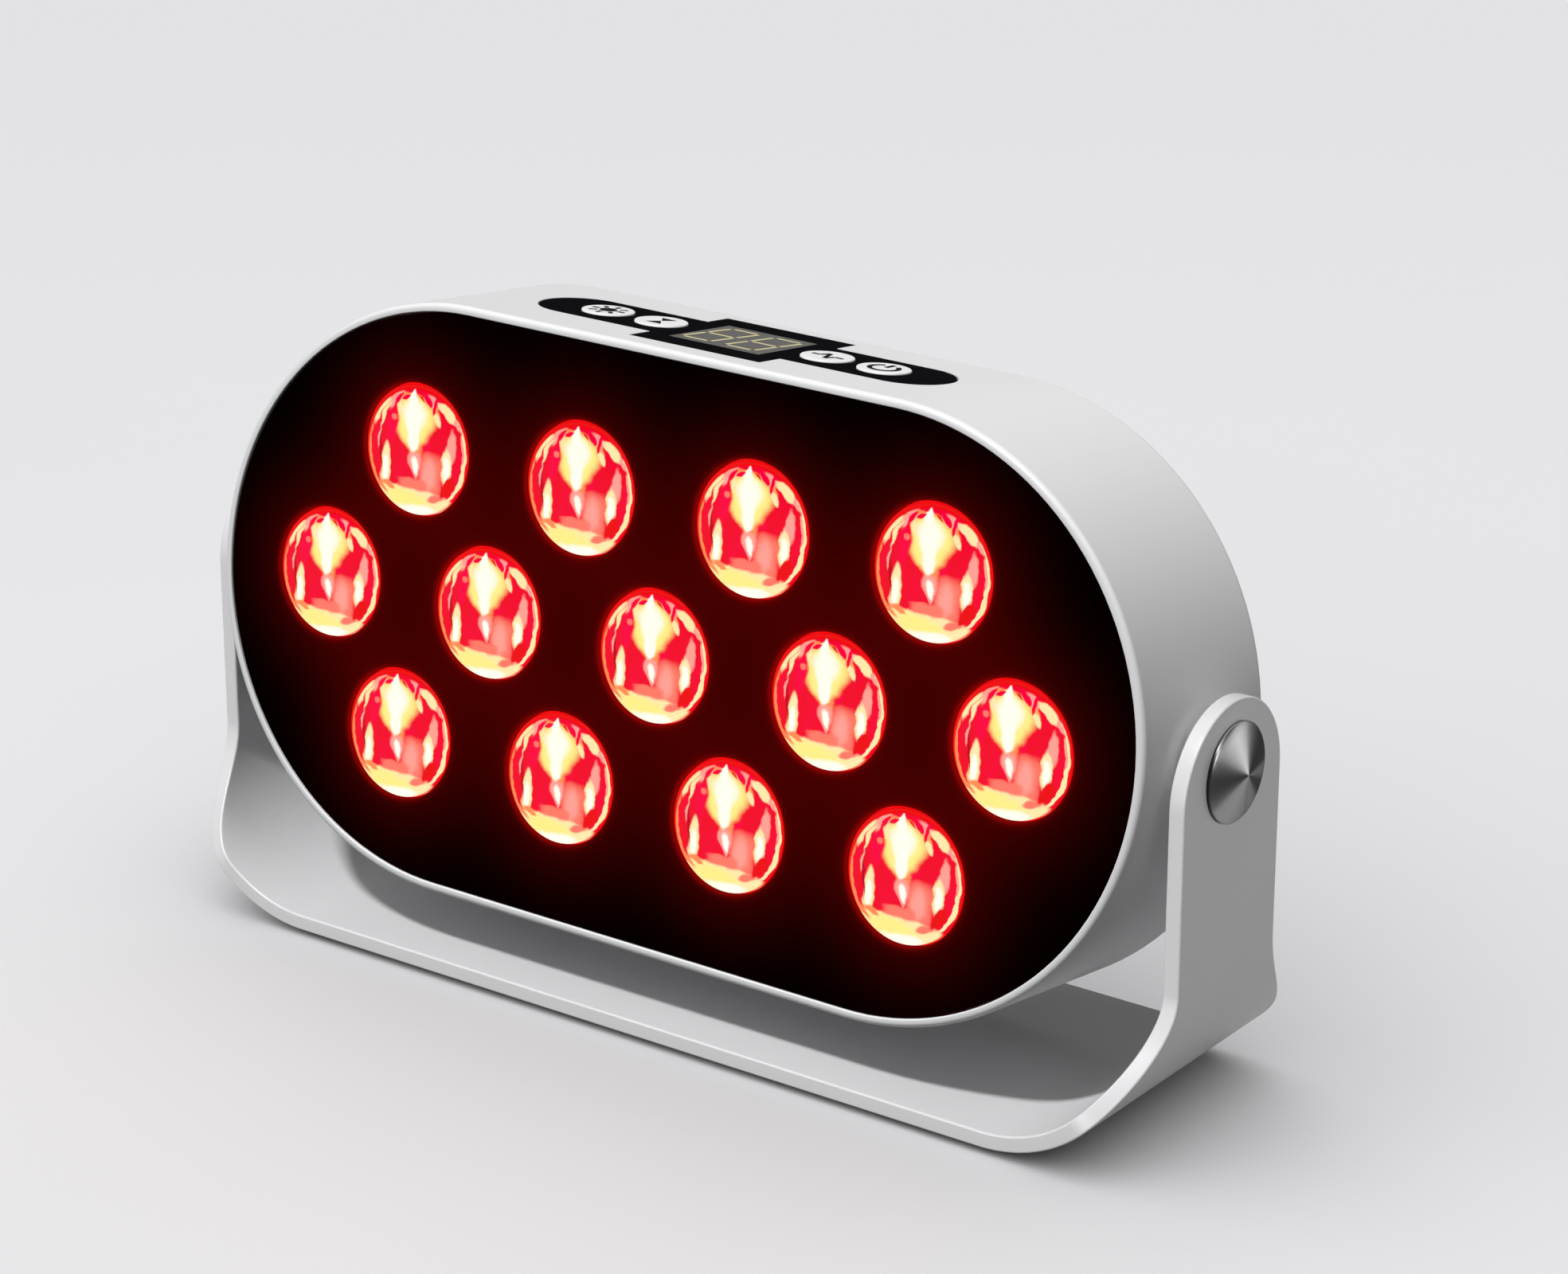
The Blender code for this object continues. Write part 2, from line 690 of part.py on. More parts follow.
def draw_emitters(bm):
    """A low tapered dome for each emitter, standing into its lens's well."""
    for place in lens_places():
        near = board_front - EMITTER_HEIGHT
        middle = (board_front + board_back) / 2
        radius = EMITTER_DIAMETER / 2
        rod_in(bm, place, radius / 2, near, middle, "Y", EMITTER_STEPS, radius)


def build_led_board():
    """The metal-core board with its emitters."""
    outline = obround(cavity_length - BOARD_INSET, cavity_height - BOARD_INSET)
    board = add_flat("led_board", [outline], board_front, board_back, BOARD_WHITE)
    combine(board, add_tool("emitters", draw_emitters), "UNION")


def fin_comb(half):
    """The heat sink's cross-section, a base with fins towards the rear, between -half and half along X."""
    count = int(half / FIN_PITCH)
    points = [(-half, sink_front), (half, sink_front), (half, sink_back)]
    for i in range(count, -count - 1, -1):
        right = i * FIN_PITCH + FIN_THICKNESS / 2
        left = i * FIN_PITCH - FIN_THICKNESS / 2
        if right < half and left > -half:
            points += [(right, sink_back), (right, fin_end), (left, fin_end), (left, sink_back)]
    return points + [(-half, sink_back)]


def build_heat_sink():
    """A finned extrusion, trimmed to an obround."""
    inset = BOARD_INSET + SINK_INSET
    trim_length = cavity_length - inset
    trim_height = cavity_height - inset
    reach = trim_height + OVERRUN
    comb = [fin_comb(trim_length + OVERRUN)]
    sink = add_flat("heat_sink", comb, -reach, reach, ALUMINIUM, HEAD, UPWARDS)
    trim = [obround(trim_length, trim_height)]
    outline = add_flat("sink_trim", trim, sink_front - OVERRUN, fin_end + OVERRUN, None)
    combine(sink, outline, "INTERSECT")


# Controls on top

def build_strip():
    """The black overlay, with the window and the button holes cut through."""
    holes = [rectangle(WINDOW_LENGTH, WINDOW_WIDTH)]
    holes += [circle(BUTTON_DIAMETER / 2 + GAP, BUTTON_STEPS, (x, 0)) for x in button_places()]
    outlines = [strip_outline()] + holes
    add_flat("control_strip", outlines, half_height - STRIP_THICKNESS, half_height, BLACK_FILM, HEAD, UPWARDS)


def build_window():
    """The clear pane over the display, resting on the edge of the opening under it."""
    pane = [rectangle(WINDOW_LENGTH - 2 * GAP, WINDOW_WIDTH - 2 * GAP)]
    bottom = half_height - STRIP_THICKNESS
    add_flat("display_window", pane, bottom, half_height, GREY_WINDOW, HEAD, UPWARDS)


def build_display():
    """The two-digit display block, standing on the control board and filling the opening."""
    length = WINDOW_LENGTH - 2 * (WINDOW_LEDGE + GAP)
    width = WINDOW_WIDTH - 2 * (WINDOW_LEDGE + GAP)
    block = [rectangle(length, width)]
    display = add_flat("display_module", block, display_bottom, display_top, BLACK_PLASTIC, HEAD, UPWARDS)
    edge = display.modifiers.new("edge", "BEVEL")
    edge.width = DISPLAY_EDGE
    edge.segments = 1


def draw_switches(bm):
    """The square bodies of the push switches."""
    half = SWITCH_SIZE / 2
    for x in button_places():
        low = (x - half, -half, (control_top + control_bottom) / 2)
        box_in(bm, low, (x + half, half, control_top + SWITCH_HEIGHT))


def draw_plungers(bm):
    """The round plungers of the push switches."""
    low = control_top + SWITCH_HEIGHT / 2
    high = control_top + SWITCH_HEIGHT + SWITCH_PLUNGER_HEIGHT
    for x in button_places():
        rod_in(bm, (x, 0), SWITCH_PLUNGER_DIAMETER / 2, low, high, "Z", SCREW_STEPS)


def build_control_board():
    """The board under the strip, with one switch under each button."""
    outline = rounded_rectangle(2 * control_half_length, 2 * control_half_width, CONTROL_BOARD_CORNER)
    board = add_flat("control_board", [outline], control_bottom, control_top, BOARD_GREEN, HEAD, UPWARDS)
    combine(board, add_tool("switches", draw_switches), "UNION")
    combine(board, add_tool("plungers", draw_plungers), "UNION")


def button_profile():
    """A cap with a retaining flange under the housing's wall and a stem down to the switch."""
    radius = BUTTON_DIAMETER / 2
    stem = BUTTON_STEM_DIAMETER / 2
    top = button_top - button_bottom
    flange_top = cavity_height - GAP - button_bottom
    flange_bottom = flange_top - BUTTON_FLANGE_THICKNESS
    return [
        (0, top),
        (radius - BUTTON_CHAMFER, top),
        (radius, top - BUTTON_CHAMFER),
        (radius, flange_top),
        (button_flange, flange_top),
        (button_flange, flange_bottom),
        (stem, flange_bottom),
        (stem, 0),
        (0, 0),
    ]


def build_buttons():
    """The four buttons, each with its origin on the line that it travels along."""
    for number, x in enumerate(button_places(), 1):
        place = (x, 0, button_bottom)
        add_turned(f"button_{number}", button_profile(), BUTTON_STEPS, BUTTON_WHITE, HEAD, place, UPWARDS)


# Rear cover

def fan_grille():
    """Parallel slots over the fan, each as long as its chord of the duct allows."""
    reach = duct_radius - FAN_WALL
    rows = int((reach - VENT_WIDTH) / VENT_PITCH)
    slots = []
    for row in range(-rows, rows + 1):
        z = row * VENT_PITCH
        chord = math.sqrt(reach**2 - (abs(z) + VENT_WIDTH / 2) ** 2)
        slots.append(obround(chord, VENT_WIDTH / 2, SLOT_STEPS, (0, z)))
    return slots


def side_vents():
    """Upright slots on both sides of the fan."""
    nearest = FAN_SIZE / 2 + VENT_MARGIN
    reach = [nearest + i * VENT_PITCH for i in range(VENTS_A_SIDE)]
    return [upright_slot(VENT_LENGTH, VENT_WIDTH, (side * x, VENT_LIFT)) for side in (1, -1) for x in reach]


def draw_counterbores(bm):
    """Recesses for the screw heads."""
    floor = cover_back - SCREW_HEAD_HEIGHT - GAP
    for place in rear_post_places() + fan_screw_places():
        rod_in(bm, place, SCREW_HEAD_DIAMETER / 2 + GAP, floor, cover_back + OVERRUN, "Y", SCREW_STEPS)


def draw_driver_posts(bm):
    """The posts on the inside of the cover that hold the driver board."""
    middle = (cover_front + cover_back) / 2
    for place in driver_post_places():
        rod_in(bm, place, DRIVER_POST_DIAMETER / 2, cover_front - DRIVER_STANDOFF, middle, "Y", SCREW_STEPS)


def build_rear_cover():
    """The vented plate that closes the back."""
    outlines = [obround(cavity_length - GAP, cavity_height - GAP)]
    outlines += fan_grille() + side_vents()
    outlines += [circle(REAR_SCREW_DIAMETER / 2 + GAP, SCREW_STEPS, place) for place in rear_post_places()]
    outlines += [circle(FAN_SCREW_DIAMETER / 2 + GAP, SCREW_STEPS, place) for place in fan_screw_places()]
    outlines.append(circle(INLET_NOSE_DIAMETER / 2 + GAP, PIVOT_STEPS, inlet_place))
    cover = add_flat("rear_cover", outlines, cover_front, cover_back, WHITE_PLASTIC)
    combine(cover, add_tool("counterbores", draw_counterbores), "DIFFERENCE", "MANIFOLD")
    combine(cover, add_tool("driver_posts", draw_driver_posts), "UNION", "MANIFOLD")


def screw_profile(shank_diameter, shank_length):
    """A pan-head screw, with its head's top at zero."""
    head = SCREW_HEAD_DIAMETER / 2
    shank = shank_diameter / 2
    tip = -SCREW_HEAD_HEIGHT - shank_length
    return [
        (0, 0),
        (head - SCREW_HEAD_CHAMFER, 0),
        (head, -SCREW_HEAD_CHAMFER),
        (head, -SCREW_HEAD_HEIGHT),
        (shank, -SCREW_HEAD_HEIGHT),
        (shank, tip),
        (0, tip),
    ]


def build_screws():
    """The screws of the rear cover and of the fan, driven from behind."""
    rear_shank = screw_profile(REAR_SCREW_DIAMETER, REAR_SCREW_LENGTH)
    fan_shank = screw_profile(FAN_SCREW_DIAMETER, FAN_SCREW_LENGTH)
    for number, (x, z) in enumerate(rear_post_places(), 1):
        place = (x, cover_back, z)
        add_turned(f"rear_screw_{number}", rear_shank, SCREW_STEPS, STEEL, HEAD, place, BACKWARDS)
    for number, (x, z) in enumerate(fan_screw_places(), 1):
        place = (x, cover_back, z)
        add_turned(f"fan_screw_{number}", fan_shank, SCREW_STEPS, STEEL, HEAD, place, BACKWARDS)


def build_inlet():
    """The barrel socket: nose flush with the cover, wider body behind it, and a centre pin in the bore."""
    nose = INLET_NOSE_DIAMETER / 2
    body = INLET_BODY_DIAMETER / 2
    bore = INLET_BORE_DIAMETER / 2
    pin = INLET_PIN_DIAMETER / 2
    shoulder = -COVER_THICKNESS - GAP
    profile = [
        (0, -INLET_PIN_SETBACK),
        (pin, -INLET_PIN_SETBACK),
        (pin, -INLET_BORE_DEPTH),
        (bore, -INLET_BORE_DEPTH),
        (bore, 0),
        (nose, 0),
        (nose, shoulder),
        (body, shoulder),
        (body, shoulder - INLET_BODY_LENGTH),
        (0, shoulder - INLET_BODY_LENGTH),
    ]
    place = (inlet_place[0], cover_back, inlet_place[1])
    add_turned("dc_inlet", profile, PIVOT_STEPS, BLACK_PLASTIC, HEAD, place, BACKWARDS)


def draw_driver_parts(bm):
    """Two capacitors and an inductor, standing on the driver board towards the cover."""
    low = driver_back - DRIVER_THICKNESS / 2
    x, z = driver_place
    quarter = DRIVER_LENGTH / 4
    for side in (1, -1):
        place = (x + quarter, z + side * CAPACITOR_DIAMETER * 3 / 4)
        rod_in(bm, place, CAPACITOR_DIAMETER / 2, low, driver_back + CAPACITOR_HEIGHT, "Y", SCREW_STEPS)
    place = (x - quarter / 2, z)
    rod_in(bm, place, INDUCTOR_DIAMETER / 2, low, driver_back + INDUCTOR_HEIGHT, "Y", SCREW_STEPS)


def build_driver_board():
    """The power board beside the fan, held on the cover's posts."""
    outline = rectangle(DRIVER_LENGTH, DRIVER_WIDTH, driver_place)
    board = add_flat("driver_board", [outline], driver_back - DRIVER_THICKNESS, driver_back, BOARD_GREEN)
    combine(board, add_tool("driver_parts", draw_driver_parts), "UNION")


# Fan

def build_fan_frame():
    """A square frame with a round duct, whose struts carry the bearing of the rotor at the rear."""
    outlines = [rounded_rectangle(FAN_SIZE, FAN_SIZE, FAN_CORNER), circle(duct_radius, DUCT_STEPS)]
    outlines += [circle(FAN_HOLE_DIAMETER / 2, SCREW_STEPS, place) for place in fan_screw_places()]
    frame = add_flat("fan_frame", outlines, fan_front, fan_back, BLACK_PLASTIC)
    near = fan_back - FAN_STRUT_THICKNESS
    reach = duct_radius + FAN_WALL / 2
    long_side = 2 * reach
    for name, size in (("strut_across", (long_side, FAN_STRUT_WIDTH)), ("strut_upright", (FAN_STRUT_WIDTH, long_side))):
        combine(frame, add_flat(name, [rectangle(*size)], near, fan_back - WELD, None), "UNION")
    disc = [circle(FAN_HUB_DIAMETER / 2, DUCT_STEPS)]
    combine(frame, add_flat("bearing_disc", disc, near - WELD, fan_back, None), "UNION")
    bore = [circle(FAN_SHAFT_DIAMETER / 2 + GAP, SCREW_STEPS)]
    combine(frame, add_flat("bearing_bore", bore, near - OVERRUN, fan_back + OVERRUN, None), "DIFFERENCE")


def rotor_depths():
    """Front and back of the rotor's hub, and the end of its shaft."""
    hub_back = fan_back - FAN_STRUT_THICKNESS - FAN_RUNNING_GAP
    return fan_front + FAN_SETBACK, hub_back, fan_back - GAP


def draw_blades(bm):
    """One twisted, swept sheet for each blade, from inside the hub to just short of the duct."""
    hub_front, hub_back, _ = rotor_depths()
    root = FAN_HUB_DIAMETER / 2 - BLADE_THICKNESS
    tip = duct_radius - BLADE_TIP_GAP
    rise = hub_back - hub_front - 2 * BLADE_THICKNESS
    middle = (hub_front + hub_back) / 2
    shares = (0.0, 0.5, 1.0)
    for blade in range(FAN_BLADES):
        start = 360 * blade / FAN_BLADES
        rows = []
        for out_share in shares:
            radius = root + (tip - root) * out_share
            row = []
            for chord_share in shares:
                angle = math.radians(start + BLADE_SPAN * (chord_share - 0.5) + BLADE_SWEEP * out_share)
                y = middle + rise * (chord_share - 0.5)
                row.append(bm.verts.new((radius * math.cos(angle), y, radius * math.sin(angle))))
            rows.append(row)
        for inner, outer in zip(rows, rows[1:]):
            for i in range(len(shares) - 1):
                bm.faces.new((inner[i], inner[i + 1], outer[i + 1], outer[i]))


def build_fan_rotor():
    """The hub with its shaft, and seven blades joined to it."""
    hub_front, hub_back, shaft_end = rotor_depths()
    hub = FAN_HUB_DIAMETER / 2
    shaft = FAN_SHAFT_DIAMETER / 2
    profile = [
        (0, shaft_end),
        (shaft, shaft_end),
        (shaft, hub_back),
        (hub, hub_back),
        (hub, hub_front + FAN_SETBACK),
        (hub - FAN_SETBACK, hub_front),
        (0, hub_front),
    ]
    rotor = add_turned("fan_rotor", profile, DUCT_STEPS, BLACK_PLASTIC, HEAD, (0, 0, 0), BACKWARDS)
    blades = add_tool("blades", draw_blades)
    sheet = blades.modifiers.new("thickness", "SOLIDIFY")
    sheet.thickness = BLADE_THICKNESS
    sheet.offset = 0
    combine(rotor, blades, "UNION")


# Pivots

def knob_profile():
    """A spun cap that rises in a low cone to a small round tip, with the threaded stud behind it."""
    radius = KNOB_DIAMETER / 2
    stud = STUD_DIAMETER / 2
    end = -(knob_seat - insert_inner - STUD_SHORTFALL)
    tip = KNOB_TIP_DIAMETER / 2
    slope = KNOB_CROWN / (radius - KNOB_CHAMFER)
    return [
        (0, KNOB_RIM + KNOB_CROWN),
        (tip, KNOB_RIM + KNOB_CROWN - tip * slope),
        (radius - KNOB_CHAMFER, KNOB_RIM),
        (radius, KNOB_RIM - KNOB_CHAMFER),
        (radius, 0),
        (stud, 0),
        (stud, end + STUD_CHAMFER),
        (stud - STUD_CHAMFER, end),
        (0, end),
    ]


def build_pivots():
    """Knob, friction washer and threaded insert on each side."""
    for side, label, facing in ((1, "right", RIGHTWARDS), (-1, "left", LEFTWARDS)):
        add_turned(f"knob_{label}", knob_profile(), KNOB_STEPS, SPUN_METAL, HEAD, (side * knob_seat, 0, 0), facing)
        washer = (WASHER_DIAMETER / 2, STUD_DIAMETER / 2 + STUD_CLEARANCE, arm_inner - boss_face - 2 * GAP)
        place = (side * (boss_face + GAP), 0, 0)
        add_tube(f"washer_{label}", *washer, PIVOT_STEPS, NYLON, HEAD, place, facing)
        insert = (INSERT_DIAMETER / 2, STUD_DIAMETER / 2 + GAP, INSERT_LENGTH)
        add_tube(f"insert_{label}", *insert, PIVOT_STEPS, BRASS, HEAD, (side * insert_inner, 0, 0), facing)


# Stand

def smooth_step(share):
    """Rises from 0 to 1 with level ends."""
    share = min(max(share, 0.0), 1.0)
    return share * share * (3 - 2 * share)


def strap_lengths():
    """Where the bend starts and ends along the strap, measured from the middle over its outer face."""
    bend_start = arm_outer - BEND_RADIUS
    return bend_start, bend_start + BEND_RADIUS * math.pi / 2


def strap_stations():
    """Lengths along the strap at which it is creased finely enough to bend smoothly."""
    start, end = strap_lengths()
    return [start + (end - start) * step / BEND_STEPS for step in range(BEND_STEPS + 1)] + [end + FLARE_RISE]


def strap_half_width(length):
    """Half the strap's width: wide over the base, drawn in to the arm's width round the bend."""
    start, end = strap_lengths()
    share = (length - start - FLARE_START) / (end + FLARE_RISE - start - FLARE_START)
    return BASE_DEPTH / 2 + (ARM_WIDTH - BASE_DEPTH) / 2 * smooth_step(share)


def strap_blank():
    """Half the flat blank, from the middle of the base to the round tip of one arm, and its pivot hole."""
    _, end = strap_lengths()
    up = end - BEND_RADIUS
    pivot = up + pivot_height - strap_bottom
    edge = [(0, -BASE_DEPTH / 2)]
    edge += [(length, -strap_half_width(length)) for length in strap_stations()]
    tip = arc(ARM_WIDTH / 2, (pivot - ARM_TIP_DROP, 0), -90, 180, END_STEPS // 2)
    back = [(x, -y) for x, y in reversed(edge)]
    hole = circle(STUD_DIAMETER / 2 + STUD_CLEARANCE, PIVOT_STEPS, (pivot, 0))
    return edge + tip + back, hole


def bend_strap(mesh):
    """Opens the blank at the middle, then rolls it up round the bend with its underside outermost."""
    bm = bmesh.new()
    bm.from_mesh(mesh)
    start, end = strap_lengths()
    middle = [face for face in bm.faces if all(abs(v.co.x) < WELD for v in face.verts)]
    bmesh.ops.delete(bm, geom=middle, context="FACES_ONLY")
    for vert in bm.verts:
        depth = vert.co.z + STRAP_THICKNESS / 2
        length = vert.co.x
        inner = BEND_RADIUS - depth
        turn = (min(max(length, start), end) - start) / BEND_RADIUS
        vert.co.x = min(length, start) + inner * math.sin(turn)
        vert.co.z = BEND_RADIUS - inner * math.cos(turn) + max(length - end, 0)
    bm.to_mesh(mesh)
    bm.free()


def build_bracket():
    """The stand: a strap cut flat, bent up at both ends and mirrored about its middle."""
    outline, hole = strap_blank()
    mesh = flat_mesh("bracket", [outline, hole], STRAP_THICKNESS)
    score_mesh(mesh, strap_stations())
    bend_strap(mesh)
    bracket = add_object("bracket", mesh, WHITE_PAINT, None, (0, 0, strap_bottom))
    mirror = bracket.modifiers.new("other_arm", "MIRROR")
    mirror.use_axis = (True, False, False)
    mirror.merge_threshold = MERGE
    edges = bracket.modifiers.new("edges", "BEVEL")
    edges.width = STRAP_EDGE_RADIUS
    edges.segments = 1
    edges.limit_method = "ANGLE"
    edges.angle_limit = math.radians(EDGE_ANGLE)


def build_base_pad():
    """The thin anti-slip pad stuck under the flat of the base."""
    bend_start, _ = strap_lengths()
    outline = rounded_rectangle(2 * bend_start - PAD_INSET, BASE_DEPTH - 2 * PAD_INSET, PAD_CORNER)
    add_flat("base_pad", [outline], 0, PAD_THICKNESS, RUBBER, None, UPWARDS)


build_housing()
build_front_panel()
build_lenses()
build_led_board()
build_heat_sink()
build_strip()
build_window()
build_display()
build_control_board()
build_buttons()
build_rear_cover()
build_screws()
build_inlet()
build_driver_board()
build_fan_frame()
build_fan_rotor()
build_pivots()
build_bracket()
build_base_pad()
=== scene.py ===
# %% [markdown]
# # A table-top red light therapy lamp
#
# The lamp is a slim obround head with thirteen lit lenses, which tilts between the arms of a bent strap stand.
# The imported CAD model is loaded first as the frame. It gives the bodies that every piece below rides on, and the
# pivot and the lean of the head are read from its joints, so nothing here can drift away from the mechanism.

import json
import math

import bmesh
import bpy
from mathutils import Matrix, Vector


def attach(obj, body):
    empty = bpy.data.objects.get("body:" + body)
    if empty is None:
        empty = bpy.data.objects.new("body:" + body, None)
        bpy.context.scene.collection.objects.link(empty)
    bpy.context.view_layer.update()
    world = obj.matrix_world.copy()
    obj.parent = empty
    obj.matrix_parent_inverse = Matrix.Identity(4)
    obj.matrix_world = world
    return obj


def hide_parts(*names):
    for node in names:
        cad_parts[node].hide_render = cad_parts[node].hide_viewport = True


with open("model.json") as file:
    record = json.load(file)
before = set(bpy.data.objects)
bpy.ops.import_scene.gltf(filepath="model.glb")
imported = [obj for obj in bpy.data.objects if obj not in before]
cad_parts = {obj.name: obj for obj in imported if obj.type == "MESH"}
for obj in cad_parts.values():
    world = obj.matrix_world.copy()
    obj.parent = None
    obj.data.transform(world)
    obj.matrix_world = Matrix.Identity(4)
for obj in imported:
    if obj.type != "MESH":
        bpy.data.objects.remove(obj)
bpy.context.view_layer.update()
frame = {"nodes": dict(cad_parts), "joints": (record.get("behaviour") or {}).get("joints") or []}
joints = {joint["name"]: joint for joint in frame["joints"]}
nodes = frame["nodes"]

# %% [markdown]
# ## Driving sizes
#
# Sizes are in metres and repeat those of the solids. The head is drawn about its tilt axis as if it stood upright:
# X runs along it, Y away from the lit face and Z up. One matrix then leans it back and lifts it to its pivot.

# %% Sizes
GAP = 0.0003

LENSES_IN_ROWS = (4, 5, 4)
LENS_PITCH = 0.040
ROW_PITCH = 0.02834

HALF_LENGTH = 0.1074
HALF_HEIGHT = 0.0581
FRONT = -0.0213
REAR = 0.0206
WALL = 0.0024
RIM_WIDTH = 0.00174
RIM_RADIUS = 0.0011
REAR_RADIUS = 0.0018
SMALL_RADIUS = 0.0003
LEDGE_WIDTH = 0.0020
LEDGE_THICKNESS = 0.0016
PANEL_RECESS = 0.0003
PANEL_THICKNESS = 0.0020

SMOOTH_ANGLE = 35.0
END_STEPS = 64
TURN_STEPS = 64
SMALL_STEPS = 32
ROUND_STEPS = 6
SHARES = [step / ROUND_STEPS for step in range(ROUND_STEPS + 1)]

panel_front = FRONT + PANEL_RECESS
panel_back = panel_front + PANEL_THICKNESS

# %% Place of the head
pivot = Vector(joints["head_tilt"]["pos_m"])
press = Vector(joints["button_1_press"]["axis"])
lean = math.atan2(-press.y, -press.z)
HEAD = Matrix.Translation(pivot) @ Matrix.Rotation(-lean, 4, "X")
FACING_UP = Matrix.Identity(4)
FACING_FORWARDS = Matrix.Rotation(math.pi / 2, 4, "X")
FACING_BACKWARDS = Matrix.Rotation(-math.pi / 2, 4, "X")
FACING_RIGHT = Matrix.Rotation(math.pi / 2, 4, "Y")
FACING_LEFT = Matrix.Rotation(math.pi, 4, "Z") @ FACING_RIGHT


def on_head(x, y, z, facing=FACING_UP):
    """A place on the upright head, with the way that a piece's own Z axis faces there."""
    return HEAD @ Matrix.Translation((x, y, z)) @ facing


print(f"Tilt axis {pivot.z * 1000:.1f} mm above the table, head leaning back {math.degrees(lean):.1f} degrees")

# %% [markdown]
# ## Camera
#
# The camera was solved from the lens centres, the ends of the control strip and the corners of the stand. A long
# lens from a little above gives the photograph's calm perspective.

# %% Camera
CAMERA_PLACE = (0.4920, -0.6550, 0.3770)
CAMERA_TURN = (69.586, 0.0, 36.056)
CAMERA_LENS = 105.5
SENSOR_WIDTH = 36.0


def show(name, data):
    """A new object in the scene."""
    obj = bpy.data.objects.new(name, data)
    bpy.context.scene.collection.objects.link(obj)
    return obj


camera_data = bpy.data.cameras.new("photo_camera")
camera_data.lens = CAMERA_LENS
camera_data.sensor_width = SENSOR_WIDTH
camera_data.sensor_fit = "HORIZONTAL"
camera = show("photo_camera", camera_data)
camera.location = CAMERA_PLACE
camera.rotation_euler = [math.radians(angle) for angle in CAMERA_TURN]
bpy.context.scene.camera = camera

# %% [markdown]
# ## Material helpers
#
# Even a plain moulding isn't one flat colour: its colour drifts a little, its gloss is uneven and its surface has a
# grain. Short helpers make the nodes, and the last one gives each material these three things, at a scale that
# suits what it is made of.

# %% Node helpers
NUMBER_RESULTS = ("DISTANCE", "DOT_PRODUCT", "LENGTH")
EVEN = (1, 1, 1)


def feed(node, inputs):
    """Sets inputs from numbers and colours, or links them to the outputs of other nodes."""
    for name, value in inputs.items():
        if isinstance(value, bpy.types.NodeSocket):
            node.id_data.links.new(value, node.inputs[name])
        else:
            node.inputs[name].default_value = value


def add_node(owner, kind, inputs=None, **settings):
    """A new node of a material or world, with its properties set and its inputs fed."""
    node = owner.node_tree.nodes.new(kind)
    for name, value in settings.items():
        setattr(node, name, value)
    feed(node, inputs or {})
    return node


def calculate(owner, operation, *values, clamp=False):
    """The result of a math node."""
    inputs = dict(enumerate(values))
    return add_node(owner, "ShaderNodeMath", inputs, operation=operation, use_clamp=clamp).outputs[0]


def calculate_vector(owner, operation, *values):
    """The result of a vector math node."""
    node = add_node(owner, "ShaderNodeVectorMath", dict(enumerate(values)), operation=operation)
    return node.outputs["Value" if operation in NUMBER_RESULTS else "Vector"]


def blend(owner, share, first, second, kind="RGBA"):
    """A mix of two colours, or of two numbers."""
    inputs = {"Factor": share, "A": first, "B": second}
    return add_node(owner, "ShaderNodeMix", inputs, data_type=kind).outputs["Result"]


def rescale(owner, value, start, end, curve="LINEAR"):
    """A value brought from between two limits to between two others."""
    inputs = {"Value": value, "From Min": start[0], "From Max": start[1], "To Min": end[0], "To Max": end[1]}
    return add_node(owner, "ShaderNodeMapRange", inputs, interpolation_type=curve).outputs["Result"]


def own_place(owner):
    """The object's own coordinates."""
    return add_node(owner, "ShaderNodeTexCoord").outputs["Object"]


def split(owner, vector):
    """The X, Y and Z of a vector."""
    return list(add_node(owner, "ShaderNodeSeparateXYZ", {0: vector}).outputs)


def noise(owner, scale, detail, stretch=EVEN):
    """Noise in the object's own coordinates, with the given number of cells in a metre."""
    spread = add_node(owner, "ShaderNodeMapping", {"Vector": own_place(owner), "Scale": stretch}).outputs["Vector"]
    return add_node(owner, "ShaderNodeTexNoise", {"Vector": spread, "Scale": scale, "Detail": detail}).outputs["Fac"]


def bump(owner, height, depth, strength):
    """Normals that follow a height."""
    inputs = {"Height": height, "Distance": depth, "Strength": strength}
    return add_node(owner, "ShaderNodeBump", inputs).outputs["Normal"]


# %% Material helpers
GLOSS_DRIFT = 0.15
BROAD_CELL = 20
GRAIN_STRENGTH = 0.6


def blank_material(name):
    """A material with only its Principled shader."""
    material = bpy.data.materials.new(name)
    material.use_nodes = True
    return material


def surface(material):
    """The material's Principled shader."""
    return material.node_tree.nodes["Principled BSDF"]


def new_material(name, colour, roughness, metallic=0.0, drift=0.04, grain=900, relief=0.00002, stretch=EVEN, gloss=0.5):
    """A Principled material whose colour and gloss drift a little over a fine grain."""
    material = blank_material(name)
    broad = noise(material, grain / BROAD_CELL, 2.0, stretch)
    fine = noise(material, grain, 4.0, stretch)
    darker = (*[channel * (1 - drift) for channel in colour], 1.0)
    rough = (roughness * (1 - GLOSS_DRIFT), roughness * (1 + GLOSS_DRIFT))
    look = {
        "Base Color": blend(material, broad, darker, (*colour, 1.0)),
        "Roughness": rescale(material, fine, (0, 1), rough),
        "Metallic": metallic,
        "Specular IOR Level": gloss,
        "Normal": bump(material, fine, relief, GRAIN_STRENGTH),
    }
    feed(surface(material), look)
    return material


# %% [markdown]
# ## Plain materials
#
# The housing is a satin moulding and the stand a satin paint, a shade greyer. The controls are a black film with
# white caps. The inner pieces get their own finishes too, because the fan and its frame show through the grille.

